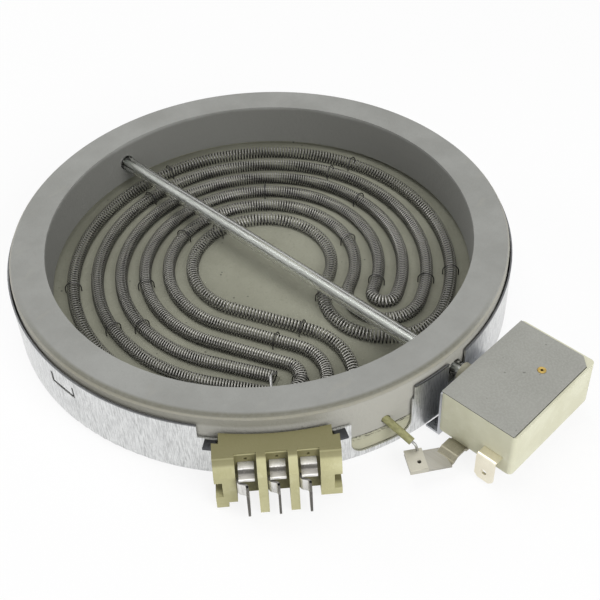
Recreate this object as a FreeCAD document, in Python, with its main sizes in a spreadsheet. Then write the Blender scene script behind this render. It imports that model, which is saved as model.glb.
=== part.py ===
"""Under-glass radiant heater: a sheet-metal dish that holds an insulated, meandering
heating coil, with a terminal block and a rod-type temperature limiter on its side.

Millimetres, +Z up. The origin is on the dish's axis, on its underside, and the
limiter's tube runs along +X towards the switch housing.
"""
import FreeCAD, Part
import math
import os
import re
import Sketcher
from FreeCAD import Placement, Rotation, Vector

SIZES = [
    # Dish
    ("dish_outer_radius", 83.6, "outside of the rolled wall"),
    ("dish_wall_height", 21.8, "top of the full wall"),
    ("sheet_thickness", 0.5, "dish sheet"),
    ("dish_bend_radius", 2.0, "outside bend between floor and wall"),
    ("notch_height", 16.7, "top of the lowered wall"),
    ("notch_start", 57.0, "lowered wall starts, degrees below +X"),
    ("notch_end", 12.0, "lowered wall ends, degrees below +X"),
    ("window_start", 26.5, "lead window starts, degrees below +X"),
    ("window_end", 12.6, "lead window ends, degrees below +X"),
    ("window_height", 3.2, "lowest edge of the lead window"),
    ("window_corner", 4.5, "corner radius of the lead window"),
    ("tongue_width", 11.0, "lanced tongue in the wall"),
    ("tongue_low", 13.6, "lower edge of the tongue's window"),
    ("tongue_high", 18.2, "upper edge of the tongue's window"),
    ("tongue_inset", 0.9, "slot round the tongue"),
    ("tongue_root", 1.2, "tongue above its window"),
    ("lug_width", 3.4, "lug over a shoulder of the connector block"),
    ("lug_reach", 3.6, "lug, outwards from the wall"),
    ("lug_lip", 0.75, "downturned end of a lug"),
    ("lug_gap", 0.5, "lug to the block's top"),
    ("opening_width", 26.0, "opening behind the connector block"),
    ("opening_low", 12.0, "lower edge of the opening behind the block"),
    ("collar_way", 0.6, "dish wall and bracket to the limiter's neck"),
    # Insulation
    ("ring_gap", 0.6, "fibre ring to dish wall"),
    ("ring_width", 11.5, "fibre ring, across its top"),
    ("ring_outer_radius", "=dish_outer_radius - sheet_thickness - ring_gap", "fibre ring"),
    ("ring_inner_radius", "=ring_outer_radius - ring_width", "fibre ring"),
    ("ring_top_height", 25.0, "face that meets the glass"),
    ("ring_bevel", 0.9, "outer top edge"),
    ("floor_height", 9.4, "base's rim, under the fibre ring"),
    ("well_height", 7.2, "base's floor, inside the rim"),
    ("well_undercut", 2.5, "fibre ring's overhang over the floor"),
    ("base_gap", 0.4, "base to dish wall, all round"),
    # Coil
    ("coil_diameter", 4.7, "outside of the winding"),
    ("coil_wire", 0.5, "heating wire"),
    ("coil_axis_height", 8.8, "centre line of the winding"),
    ("coil_inset", 6.6, "fibre ring to the outermost track's centre line"),
    ("coil_outer_track", "=ring_inner_radius - coil_inset", "centre line of the outermost track"),
    ("spacing_share", 0.12578, "coil_spacing over coil_outer_track"),
    ("coil_spacing", "=coil_outer_track * spacing_share", "from track to track"),
    ("hook_angle", 22.5, "where the tracks turn back, degrees above +X"),
    ("pole_share", 0.8323, "end_radius over coil_outer_track"),
    ("end_radius", "=coil_outer_track * pole_share", "pole of the lower bends, from the axis"),
    ("end_angle", 38.6, "pole of the lower bends, degrees below +X"),
    ("bend_share", 0.79, "end_bend over coil_spacing"),
    ("end_bend", "=coil_spacing * bend_share", "innermost lower bend"),
    ("last_bend_angle", 24.0, "where the outermost lower bend stops, degrees above +X"),
    ("open_margin", 1.6, "open turns to the pole"),
    ("end_pitch", 1.0, "pitch of the open turns at the free end"),
    ("end_turns", 14, "open turns drawn at the free end"),
    ("groove_clearance", 0.12, "groove in the base, round the winding"),
    ("staple_wire", 0.4, "retaining staple"),
    ("staple_clearance", 0.1, "staple to winding"),
    ("staple_depth", 6.0, "leg below the winding's centre"),
    ("staple_count", 22, "staples along the coil"),
    ("lead_wire", 0.8, "cold lead"),
    ("lead_room", 0.3, "round a lead in the insulation and the block"),
    ("lead_bend", 3.0, "bend of the connector's lead"),
    ("tight_bend", 1.0, "bends of the limiter's lead"),
    ("lead_rise", 4.0, "pole to the bend of the connector's lead"),
    ("lead_stop", 1.5, "end of the connector's lead to the bays"),
    ("sleeve_inset", 1.8, "sleeve's start inside the fibre ring"),
    ("sleeve_angle", 19.0, "sleeve's start, degrees below +X"),
    ("sleeve_high", 13.0, "sleeve's start"),
    ("sleeve_low", 9.0, "sleeve's end"),
    ("sleeve_reach", 4.0, "dish wall to the sleeve's end"),
    ("sleeve_drift", 0.9, "sleeve's end to its start, along Y"),
    ("sleeve_room", 0.25, "round the sleeve in the fibre ring"),
    ("lead_tail", 1.4, "lead straight on from the sleeve"),
    ("lead_edge", 0.6, "lead's end inside the strap's edge"),
    ("lead_short", 4.0, "lead's end to the strap's end"),
    # Connector block, seen along its own radius
    ("connector_angle", 41.7, "centre line, degrees below +X"),
    ("block_seat", 0.3, "block to dish wall"),
    ("block_depth", 6.6, "dish wall to the back of the bays"),
    ("block_side_depth", 9.9, "dish wall to the front of the cheeks"),
    ("rib_depth", 13.0, "dish wall to the front of the ribs"),
    ("block_width", 36.0, "across the cheeks"),
    ("block_top_width", 32.0, "across the top"),
    ("block_top", 20.0, "top face"),
    ("block_shoulder", 15.9, "top of the cheeks' shoulders"),
    ("block_brow", 13.5, "foot of the sloping front"),
    ("block_foot", 2.4, "underside of the cheeks"),
    ("block_slope", 0.8, "back of the bays to the top of the slope"),
    ("block_root", 3.0, "block's stock inside the dish wall, cut away"),
    ("left_foot_width", 3.5, "lower foot on the left cheek"),
    ("left_foot_depth", 4.0, "lower foot on the left cheek"),
    ("left_foot_low", 0.3, "underside of the left cheek's foot"),
    ("rib_width", 2.6, "barrier rib"),
    ("rib_foot", 0.6, "underside of the ribs"),
    ("rib_brow", 2.8, "block's top to the front of the ribs"),
    ("rib_root", 0.5, "rib inside the back of the bays"),
    ("bay_width", 23.8, "between the cheeks"),
    ("ear_slot_width", 2.2, "side slot in each cheek"),
    ("ear_slot_low", 5.2, "side slot in each cheek"),
    ("ear_slot_high", 11.4, "side slot in each cheek"),
    ("terminal_pitch", 8.75, "from terminal to terminal"),
    ("terminal_width", 4.5, "plate of a terminal"),
    ("terminal_root", 2.0, "dish wall to the back of the plate"),
    ("terminal_step", 1.6, "drop of the plate's nose"),
    ("terminal_reach", 5.0, "back of the bays to the plate's nose"),
    ("terminal_bend", 0.8, "back of the bays to the plate's step"),
    ("terminal_slope", 1.0, "run of the plate's step"),
    ("wing_height", 5.2, "folded wing under the nose"),
    ("wing_side", 0.4, "wing past the plate's side"),
    ("blade_corner", 1.2, "cut corners of the blade"),
    ("blade_neck", 0.6, "blade's top under the nose"),
    ("blade_shoulder", 2.2, "front of the blade under the nose"),
    ("pilot_radius", 0.45, "small hole over each plate"),
    ("pilot_height", 17.6, "small hole over each plate"),
    ("pilot_depth", 3.0, "small hole over each plate"),
    ("terminal_sheet", 0.8, "terminal sheet"),
    ("terminal_height", 15.4, "underside of the plate"),
    ("blade_width", 4.8, "push-on blade"),
    ("blade_tip", 1.6, "lowest point of the blade"),
    ("terminal_slot_clearance", 0.1, "plate in its slot"),
    # Temperature limiter
    ("tube_height", 16.8, "axis of the sensor tube"),
    ("tube_outer_radius", 2.5, "sensor tube"),
    ("tube_inner_radius", 1.8, "sensor tube"),
    ("tube_clearance", 0.3, "tube in the fibre ring"),
    ("rod_radius", 1.1, "expansion rod"),
    ("rod_clearance", 0.05, "rod in its end nut"),
    ("tube_inset", 6.0, "far end inside the fibre ring"),
    ("tube_far_end", "=ring_outer_radius - tube_inset", "far end, from the axis"),
    ("tube_seat", 0.2, "tube's end to the housing's inside"),
    ("rod_exit", 1.2, "rod's end inside the housing"),
    ("nut_radius", 2.4, "across the corners of the end nut"),
    ("nut_length", 2.5, "end nut"),
    ("washer_thickness", 0.8, "end washer"),
    ("rod_overhang", 0.8, "rod past the end nut"),
    ("housing_gap", 4.3, "dish wall to the switch housing"),
    ("housing_length", 26.2, "along the tube"),
    ("housing_width", 39.6, "across the tube"),
    ("housing_side", 13.5, "tube axis to the terminal side"),
    ("housing_low", 4.8, "underside"),
    ("housing_high", 21.0, "top rim"),
    ("housing_wall", 2.5, "walls and floor"),
    ("housing_edge", 1.5, "rounded outer edges"),
    ("collar_radius", 3.3, "neck round the tube"),
    ("collar_length", 2.4, "neck round the tube"),
    ("collar_clearance", 0.1, "tube in the neck"),
    ("cover_thickness", 1.2, "cover plate"),
    ("cover_margin", 0.7, "rim round the cover"),
    ("cover_gap", 0.2, "outline gap round the cover"),
    ("cover_corner", 3.0, "cut corner of the cover"),
    ("eyelet_offset", 16.6, "housing's near side to the hollow rivet"),
    ("eyelet_x", "=dish_outer_radius + housing_gap + eyelet_offset", "hollow rivet"),
    ("eyelet_inset", 13.6, "hollow rivet to the housing's far side"),
    ("eyelet_y", "=housing_width - housing_side - eyelet_inset", "hollow rivet"),
    ("eyelet_radius", 0.85, "hollow rivet, shank"),
    ("eyelet_bore", 0.45, "hollow rivet"),
    ("eyelet_head_radius", 1.3, "hollow rivet"),
    ("eyelet_head", 0.4, "hollow rivet"),
    ("eyelet_clearance", 0.1, "rivet in its holes"),
    ("bracket_sheet", 0.8, "limiter bracket"),
    ("bracket_low", 0.6, "underside of the bracket's foot"),
    ("bracket_high", 19.0, "top of the bracket"),
    ("bracket_lip", 4.0, "lip under the housing"),
    ("bracket_root", 8.0, "bracket's stock inside the dish wall, cut away"),
    ("bracket_inset", 1.0, "bracket inside the housing's sides"),
    ("bracket_gap", 0.15, "bracket to dish wall"),
    ("tab_width", 6.3, "push-on tab"),
    ("tab_sheet", 0.8, "push-on tab"),
    ("tab_offset", 19.7, "housing's near side to the tab's middle"),
    ("tab_x", "=dish_outer_radius + housing_gap + tab_offset", "push-on tab, middle"),
    ("tab_height", 9.6, "underside of the tab's shelf"),
    ("tab_reach", 3.7, "housing side to the tab's outer face"),
    ("tab_tip", 0.7, "lowest point of the tab"),
    ("tab_hole_radius", 0.95, "detent hole"),
    ("tab_hole_height", 4.4, "detent hole"),
    ("tab_slot_clearance", 0.1, "tab in the housing wall"),
    ("tab_bend", 1.2, "outside bend of the tab"),
    ("tab_corner", 1.3, "cut corners of the tab's tip"),
    ("tab_root", 1.5, "tab inside the housing"),
    ("strap_sheet", 0.8, "limiter strap"),
    ("strap_offset", 8.4, "housing's near side to the strap's middle"),
    ("strap_x", "=dish_outer_radius + housing_gap + strap_offset", "strap, middle"),
    ("strap_width", 6.0, "limiter strap"),
    ("strap_end_width", 7.2, "second leg"),
    ("strap_bend_y", 20.3, "where the strap turns, below the X axis"),
    ("strap_turn", 55.0, "second leg, degrees from -X"),
    ("strap_leg", 11.5, "second leg"),
    ("strap_root", 3.0, "strap past the arm's post, under the housing"),
    ("clip_length", 5.0, "clinch plate on the strap's end"),
    ("clip_width", 3.6, "clinch plate on the strap's end"),
    ("clip_hole_inset", 2.6, "clinch hole from the strap's end"),
    ("clip_hole_side", 2.6, "clinch hole from the strap's edge"),
    ("clip_sheet", 0.7, "clinch plate"),
    ("clip_hole_radius", 0.7, "clinch hole"),
    ("clip_seat", 0.05, "clinch plate round the lead"),
    ("sleeve_radius", 1.2, "lead sleeve"),
    ("sleeve_bore", 0.6, "lead sleeve"),
    # Switch inside the housing
    ("post_radius", 1.0, "contact arm's post"),
    ("post_clearance", 0.05, "arm on its post"),
    ("post_offset", 8.5, "tube axis to the post"),
    ("arm_sheet", 0.4, "contact arm"),
    ("arm_eye", 1.8, "outside of the arm's eye"),
    ("contact_inset", 7.6, "contacts to the housing's far side"),
    ("contact_reach", "=housing_width - housing_side + post_offset - contact_inset", "post to the contacts"),
    ("arm_tip", 2.0, "arm past the contacts"),
    ("arm_length", "=contact_reach + arm_tip", "post to the arm's tip"),
    ("arm_low", 13.5, "lower edge of the arm"),
    ("arm_high", 18.5, "upper edge of the arm"),
    ("push_gap", 0.15, "cold gap between pin and arm"),
    ("pin_radius", 1.0, "transfer pin"),
    ("pin_length", 4.2, "transfer pin"),
    ("contact_radius", 1.6, "contact rivets"),
    ("contact_length", 1.1, "contact rivets"),
    ("contact_gap", 0.05, "closed contacts"),
    ("strip_sheet", 0.8, "fixed contact strip"),
    ("strip_width", 4.0, "fixed contact strip"),
    ("strip_riser", 1.5, "upright part of the strip"),
    ("strip_side", 1.6, "contact to the near side of the upright part"),
    ("strip_gap", 0.3, "strip to the housing wall"),
    ("post_head", 0.4, "post over the arm"),
    ("eye_lap", 0.4, "leaf into the eye"),
]

doc = FreeCAD.newDocument("RadiantHeater")
sheet = doc.addObject("Spreadsheet::Sheet", "Sizes")
for row, (alias, value, note) in enumerate(SIZES, start=1):
    sheet.set("A%d" % row, alias)
    sheet.set("B%d" % row, str(value))
    sheet.set("C%d" % row, note)
    sheet.setAlias("B%d" % row, alias)
doc.recompute()

PAST = 1.0  # how far a cutter runs past a face
NAMES = re.compile(r"\b(%s)\b" % "|".join(alias for alias, _, _ in SIZES))
parts = []


def size(expression):
    """The value of an expression in the sheet's names."""
    return float(sheet.evalExpression(expression))


def bind(obj, **paths):
    """Ties properties of an object to expressions in the sheet's names.

    A dot in a property's path is written as two underscores.
    """
    for path, expression in paths.items():
        obj.setExpression(path.replace("__", "."), NAMES.sub(r"Sizes.\1", expression))


def keep(obj, label):
    """Marks an object as a finished sub-part and names it."""
    obj.Label = label
    parts.append(obj)
    return obj


# Building blocks: primitives along the axes, booleans and sketched bodies

def block(name, low, high):
    """A box between two corners, each three expressions."""
    obj = doc.addObject("Part::Box", name)
    spans = ["(%s) - (%s)" % pair for pair in zip(high, low)]
    bind(obj, Length=spans[0], Width=spans[1], Height=spans[2])
    bind(obj, Placement__Base__x=low[0], Placement__Base__y=low[1], Placement__Base__z=low[2])
    return obj


def rod_along_x(name, radius, start, end):
    """A cylinder on the sensor tube's axis."""
    obj = doc.addObject("Part::Cylinder", name)
    obj.Placement = Placement(Vector(), Rotation(Vector(0, 1, 0), 90))
    bind(obj, Radius=radius, Height="(%s) - (%s)" % (end, start))
    bind(obj, Placement__Base__x=start, Placement__Base__z="tube_height")
    return obj


def post(name, radius, x, y, low, high):
    """An upright cylinder."""
    obj = doc.addObject("Part::Cylinder", name)
    bind(obj, Radius=radius, Height="(%s) - (%s)" % (high, low))
    bind(obj, Placement__Base__x=x, Placement__Base__y=y, Placement__Base__z=low)
    return obj


def feature(name, shape):
    """An object that holds a shape made in code."""
    obj = doc.addObject("Part::Feature", name)
    obj.Shape = shape
    return obj


def fuse(name, *shapes):
    """All shapes joined."""
    obj = doc.addObject("Part::MultiFuse", name)
    obj.Shapes = list(shapes)
    return obj


def cut(name, base, *tools):
    """A shape less one or more others."""
    obj = doc.addObject("Part::Cut", name)
    obj.Base = base
    obj.Tool = tools[0] if len(tools) == 1 else fuse(name + "_tools", *tools)
    return obj


def turn_to(obj, angle):
    """Turns an object about the dish's axis, to an angle below +X."""
    obj.Placement = Placement(Vector(), Rotation(Vector(0, 0, 1), 1))
    bind(obj, Placement__Rotation__Angle="360 - (%s)" % angle)
    return obj


def new_body(name):
    """An empty PartDesign body."""
    return doc.addObject("PartDesign::Body", name)


def new_sketch(body, name, plane, offset="0"):
    """A sketch on one of the body's own planes, moved along the plane's normal."""
    sketch = body.newObject("Sketcher::SketchObject", name)
    origin = [item for item in body.Origin.OriginFeatures if item.Role == plane][0]
    sketch.AttachmentSupport = [(origin, "")]
    sketch.MapMode = "FlatFace"
    bind(sketch, AttachmentOffset__Base__z=offset)
    return sketch


def locate(sketch, geometry, point, place):
    """Ties a point of a sketch to two expressions, measured from the origin."""
    for kind, expression in zip(("DistanceX", "DistanceY"), place):
        rule = Sketcher.Constraint(kind, -1, 1, geometry, point, size(expression))
        index = sketch.addConstraint(rule)
        sketch.setExpression("Constraints[%d]" % index, NAMES.sub(r"Sizes.\1", expression))


def outline(body, name, plane, corners, offset="0"):
    """A closed outline of straight lines with its corners given as expressions."""
    sketch = new_sketch(body, name, plane, offset)
    spots = [Vector(size(x), size(y), 0) for x, y in corners]
    for start, end in zip(spots, spots[1:] + spots[:1]):
        sketch.addGeometry(Part.LineSegment(start, end), False)
    for index in range(len(spots)):
        follower = (index + 1) % len(spots)
        sketch.addConstraint(Sketcher.Constraint("Coincident", index, 2, follower, 1))
    for index, corner in enumerate(corners):
        locate(sketch, index, 1, corner)
    return sketch


def rectangle(body, name, plane, low, high, offset="0"):
    """A rectangular outline between two corners."""
    corners = [low, (high[0], low[1]), high, (low[0], high[1])]
    return outline(body, name, plane, corners, offset)


def disc(body, name, plane, centre, radius, offset="0"):
    """A round outline."""
    sketch = new_sketch(body, name, plane, offset)
    middle = Vector(size(centre[0]), size(centre[1]), 0)
    sketch.addGeometry(Part.Circle(middle, Vector(0, 0, 1), size(radius)), False)
    locate(sketch, 0, 3, centre)
    index = sketch.addConstraint(Sketcher.Constraint("Radius", 0, size(radius)))
    sketch.setExpression("Constraints[%d]" % index, NAMES.sub(r"Sizes.\1", radius))
    return sketch


def pad(body, sketch, length, both_ways=False):
    """Material on a sketch, along its normal or to both sides of it."""
    obj = body.newObject("PartDesign::Pad", sketch.Name + "_pad")
    obj.Profile = sketch
    bind(obj, Length=length)
    if both_ways:
        obj.SideType = "Symmetric"
    doc.recompute()
    return obj


def pocket(body, sketch, depth):
    """A cut on both sides of a sketch. It has to take material away."""
    before = body.Shape.Volume
    obj = body.newObject("PartDesign::Pocket", sketch.Name + "_pocket")
    obj.Profile = sketch
    bind(obj, Length=depth)
    obj.SideType = "Symmetric"
    doc.recompute()
    if body.Shape.Volume >= before - 1e-6:
        raise RuntimeError("%s cuts nothing" % obj.Name)
    return obj


def revolve(body, sketch):
    """A full turn of a sketch on the XZ plane about the Z axis."""
    obj = body.newObject("PartDesign::Revolution", sketch.Name + "_turned")
    obj.Profile = sketch
    obj.ReferenceAxis = (sketch, ["V_Axis"])
    obj.Angle = 360
    doc.recompute()
    return obj


def round_edges(body, base, radius, chosen):
    """Fillets the edges of the last feature that a test picks."""
    names = [name for name, edge in numbered(base) if chosen(edge)]
    obj = body.newObject("PartDesign::Fillet", base.Name + "_round")
    obj.Base = (base, names)
    bind(obj, Radius=radius)
    doc.recompute()
    return obj


def is_circle_at(edge, radius, height):
    """Whether an edge is a circle about the axis at a height."""
    if not isinstance(edge.Curve, Part.Circle):
        return False
    same = abs(edge.Curve.Radius - radius) < 1e-4
    return same and abs(edge.Curve.Center.z - height) < 1e-4


def is_along_x(edge, y, z):
    """Whether an edge is a straight line along X at that place."""
    spot = edge.CenterOfMass
    return isinstance(edge.Curve, Part.Line) and abs(spot.y - y) < 1e-6 and abs(spot.z - z) < 1e-6


def numbered(base):
    """Each edge of a feature with its name."""
    return [("Edge%d" % (index + 1), edge) for index, edge in enumerate(base.Shape.Edges)]


def is_upright(edge):
    """Whether an edge is a straight line along Z."""
    if not isinstance(edge.Curve, Part.Line):
        return False
    return abs(abs(edge.Curve.Direction.z) - 1) < 1e-6


# Wires and tubes

def polar(radius, degrees, height=0.0):
    """A point at an angle above +X."""
    angle = math.radians(degrees)
    return Vector(radius * math.cos(angle), radius * math.sin(angle), height)


def bar(start, end, radius):
    """A round bar between two points."""
    return Part.makeCylinder(radius, (end - start).Length, start, end - start)


def rounded_wire(spots, radius):
    """Straight runs through the spots, with a tangent arc at each inner spot."""
    edges = []
    last = spots[0]
    for before, corner, after in zip(spots, spots[1:], spots[2:]):
        inward = (before - corner).normalize()
        outward = (after - corner).normalize()
        half = inward.getAngle(outward) / 2
        reach = radius / math.tan(half)
        start = corner + inward * reach
        end = corner + outward * reach
        bisector = (inward + outward).normalize()
        middle = corner + bisector * (radius / math.sin(half) - radius)
        edges.append(Part.LineSegment(last, start).toShape())
        edges.append(Part.Arc(start, middle, end).toShape())
        last = end
    edges.append(Part.LineSegment(last, spots[-1]).toShape())
    return Part.Wire(edges)


def tube_along(path, radius):
    """A round solid swept along a wire, with its volume compared with the path's length."""
    first = path.OrderedEdges[0]
    start = first.valueAt(first.FirstParameter)
    heading = first.tangentAt(first.FirstParameter)
    section = Part.Wire([Part.Circle(start, heading, radius).toShape()])
    solid = path.makePipeShell([section], True, False)
    expected = math.pi * radius ** 2 * path.Length
    if abs(solid.Volume - expected) > 0.01 * expected:
        raise RuntimeError("swept volume %.2f, expected %.2f" % (solid.Volume, expected))
    return solid


# Heating coil: six concentric tracks joined by hooks into one series path

tracks = [size("coil_outer_track - coil_spacing * %d" % i) for i in range(6)]
axis_height = size("coil_axis_height")
pole = polar(size("end_radius"), -size("end_angle"), axis_height)
hook = size("hook_angle")
bends = [size("end_bend + coil_spacing * %d" % i) for i in range(3)]


def lean(along):
    """Angle of a tangent line's normal, for a line at that distance towards the pole."""
    return -size("end_angle") - math.degrees(math.acos(along / size("end_radius")))


class CoilRoute:
    """Tangent lines and arcs in the plane of the coil, gathered in running order."""

    def __init__(self):
        self.edges = []
        self.end = None

    def arc(self, centre, radius, start, end):
        """An arc from one angle to another, either way round."""
        spots = [centre + polar(radius, a) for a in (start, (start + end) / 2, end)]
        self.line_to(spots[0])
        self.edges.append(Part.Arc(*spots).toShape())
        self.end = spots[2]

    def line_to(self, spot):
        """A straight run from the last end."""
        if self.end is not None and (spot - self.end).Length > 1e-6:
            self.edges.append(Part.LineSegment(self.end, spot).toShape())
        self.end = spot


def coil_route():
    """The centre line from the free end of the third track to the end of the sixth."""
    centre = Vector(0, 0, axis_height)
    route = CoilRoute()
    free_leave = lean(tracks[2])
    free_tangent = centre + polar(tracks[2], free_leave)
    run = pole - free_tangent
    open_length = size("end_pitch * end_turns")
    route.line_to(free_tangent + run * (1 - (open_length + size("open_margin")) / run.Length))
    route.arc(centre, tracks[2], free_leave + 360, hook)
    pairs = [(2, 3, 1), (1, 4, 0), (0, 5, None)]
    for (outer, inner, back), bend in zip(pairs, bends):
        middle = (tracks[outer] + tracks[inner]) / 2
        reach = (tracks[outer] - tracks[inner]) / 2
        route.arc(centre + polar(middle, hook), reach, hook, hook - 180)
        leave = lean(tracks[inner] + bend)
        route.arc(centre, tracks[inner], hook, leave + 360)
        if back is None:
            route.arc(pole, bend, leave + 180, size("last_bend_angle"))
        else:
            join = lean(tracks[back] - bend)
            route.arc(pole, bend, leave + 180, join)
            route.arc(centre, tracks[back], join + 360, hook)
    return Part.Wire(route.edges)


route = coil_route()
print("coil route: %.0f mm in %d runs" % (route.Length, len(route.Edges)))


def biarc(start, start_heading, end, end_heading):
    """Two arcs in space that join two points and meet both headings."""
    chord = end - start
    both = start_heading + end_heading
    a = 2 * (1 - start_heading.dot(end_heading))
    b = 2 * chord.dot(both)
    c = -chord.dot(chord)
    reach = (-b + math.sqrt(b * b - 4 * a * c)) / (2 * a)
    first = start + start_heading * reach
    second = end - end_heading * reach
    joint = (first + second) * 0.5
    arcs = []
    for low, knee, high in ((start, first, joint), (joint, second, end)):
        inward = (low - knee).normalize()
        half = inward.getAngle(high - knee) / 2
        radius = (low - knee).Length * math.tan(half)
        bisector = (inward + (high - knee).normalize()).normalize()
        middle = knee + bisector * (radius / math.sin(half) - radius)
        arcs.append(Part.Arc(low, middle, high).toShape())
    return arcs


def open_turns(start, heading, turns, pitch, radius):
    """The centre line of open turns about a straight axis, in quarter-turn biarcs."""
    side = Vector(0, 0, 1)
    other = heading.cross(side)
    rise = pitch / (2 * math.pi)

    def spot(angle):
        swing = side * math.cos(angle) + other * math.sin(angle)
        return start + heading * (rise * angle) + swing * radius

    def direction(angle):
        swing = other * math.cos(angle) - side * math.sin(angle)
        return (heading * rise + swing * radius).normalize()

    edges = []
    for quarter in range(4 * turns):
        low = quarter * math.pi / 2
        high = low + math.pi / 2
        edges += biarc(spot(low), direction(low), spot(high), direction(high))
    steps = [spot(2 * math.pi * i / 24) for i in range(24 * turns + 1)]
    far = [(a - b).Length for i, a in enumerate(steps[:48]) for b in steps[i + 18:]]
    return Part.Wire(edges), min(far)


def heating_coil():
    """The winding's outer form along its route, and its open turns at the free end."""
    keep(feature("coil_envelope", tube_along(route, size("coil_diameter / 2"))), "heating_coil")
    first = route.OrderedEdges[0]
    start = first.valueAt(first.FirstParameter)
    heading = first.tangentAt(first.FirstParameter) * -1
    wire = size("coil_wire")
    radius = size("(coil_diameter - coil_wire) / 2")
    turns, nearest = open_turns(start + heading * wire, heading, int(size("end_turns")),
                                size("end_pitch"), radius)
    print("open turns: %d, least gap %.2f mm" % (size("end_turns"), nearest - wire))
    keep(feature("coil_turns", tube_along(turns, wire / 2)), "coil_end_turns")
    return turns.OrderedVertexes[-1].Point


free_end = heating_coil()


def coil_staples():
    """Bent-wire staples that straddle the winding and go into the base."""
    wire = size("staple_wire / 2")
    reach = size("coil_diameter / 2 + staple_clearance") + wire
    foot = size("coil_axis_height - staple_depth")
    count = int(size("staple_count"))
    staples = []
    for index in range(count):
        along = route.Length * (index + 0.5) / count
        spot, heading = point_along(route, along)
        side = heading.cross(Vector(0, 0, 1)).normalize() * reach
        low = Vector(0, 0, foot - spot.z)
        top = Vector(0, 0, reach)
        leg = Part.LineSegment(spot - side + low, spot - side).toShape()
        bow = Part.Arc(spot - side, spot + top, spot + side).toShape()
        other = Part.LineSegment(spot + side, spot + side + low).toShape()
        staples.append(tube_along(Part.Wire([leg, bow, other]), wire))
    keep(feature("staples", Part.makeCompound(staples)), "coil_staples")


def point_along(wire, distance):
    """The point and heading at a distance along a wire."""
    for edge in wire.OrderedEdges:
        if distance <= edge.Length:
            parameter = edge.getParameterByLength(distance)
            if edge.Orientation == "Reversed":
                parameter = edge.getParameterByLength(edge.Length - distance)
            return edge.valueAt(parameter), edge.tangentAt(parameter)
        distance -= edge.Length
    raise RuntimeError("past the end of the wire")


coil_staples()

# Leads: the free end's lead runs out to the connector, the other through a sleeve to the limiter

connector_turn = -size("connector_angle")
lead_radius = size("lead_wire / 2")
lead_height = size("terminal_height") - lead_radius
tail_end = size("dish_outer_radius + block_depth - lead_stop")
inner_lead_spots = [
    free_end,
    polar(size("end_radius + lead_rise"), connector_turn, lead_height),
    polar(tail_end, connector_turn, lead_height),
]
sleeve_start = polar(size("ring_outer_radius - sleeve_inset"), -size("sleeve_angle"), size("sleeve_high"))
sleeve_end = Vector(size("dish_outer_radius + sleeve_reach"), sleeve_start.y + size("sleeve_drift"),
                    size("sleeve_low"))
sleeve_run = (sleeve_end - sleeve_start).normalize()
strap_axis = polar(1.0, size("strap_turn") + 180)
strap_side = Vector(-strap_axis.y, strap_axis.x, 0)
strap_knee = Vector(size("strap_x"), -size("strap_bend_y"), size("housing_low") + lead_radius)
lead_landing = (strap_knee + strap_axis * size("strap_leg - lead_short")
                - strap_side * size("strap_end_width / 2 - lead_edge"))
route_end = route.OrderedEdges[-1]
outer_lead_spots = [
    route_end.valueAt(route_end.LastParameter),
    sleeve_start,
    sleeve_end + sleeve_run * size("lead_tail"),
    lead_landing,
]


def ring_sector(inner, outer, start, end, low, high):
    """A slice of an upright ring between two angles above +X."""
    foot = Vector(0, 0, low)
    up = Vector(0, 0, 1)
    turn = end - start
    shape = Part.makeCylinder(outer, high - low, foot, up, turn)
    shape = shape.cut(Part.makeCylinder(inner, high - low, foot, up))
    shape.rotate(Vector(), up, start)
    return shape


def lead_window():
    """A round-cornered cutter through the wall, where the limiter's lead comes out."""
    middle = -size("(window_start + window_end) / 2")
    width = 2 * size("dish_outer_radius * sin((window_start - window_end) / 2)")
    foot = size("window_height")
    reach = size("2 * collar_radius")
    shape = Part.makeBox(2 * reach, width, size("dish_wall_height") + PAST - foot,
                         Vector(size("dish_outer_radius") - reach, -width / 2, foot))
    corners = [edge for edge in shape.Edges
               if abs(edge.tangentAt(0).x) > 0.99 and abs(edge.CenterOfMass.z - foot) < 1e-6]
    shape = shape.makeFillet(size("window_corner"), corners)
    shape.rotate(Vector(), Vector(0, 0, 1), middle)
    return shape


def leads():
    """Both cold leads and the sleeve on the limiter's one. Gives the limiter lead's centre line."""
    away = (inner_lead_spots[1] - inner_lead_spots[0]).normalize()
    inner_lead_spots[0] += away * (lead_radius + size("coil_wire"))
    inner_wire = rounded_wire(inner_lead_spots, size("lead_bend"))
    keep(feature("inner_lead", tube_along(inner_wire, lead_radius)), "connector_lead")
    outer_lead_spots[0] += route_end.tangentAt(route_end.LastParameter) * size("lead_wire")
    outer_wire = rounded_wire(outer_lead_spots, size("tight_bend"))
    keep(feature("outer_lead", tube_along(outer_wire, lead_radius)), "limiter_lead")
    sleeve = bar(sleeve_start, sleeve_end, size("sleeve_radius"))
    bore = bar(sleeve_start, sleeve_end, size("sleeve_bore"))
    keep(feature("sleeve", sleeve.cut(bore)), "lead_sleeve")
    return outer_wire


limiter_lead_wire = leads()

# Dish and insulation

OUTER = "dish_outer_radius"
INNER = "(dish_outer_radius - sheet_thickness)"


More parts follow.
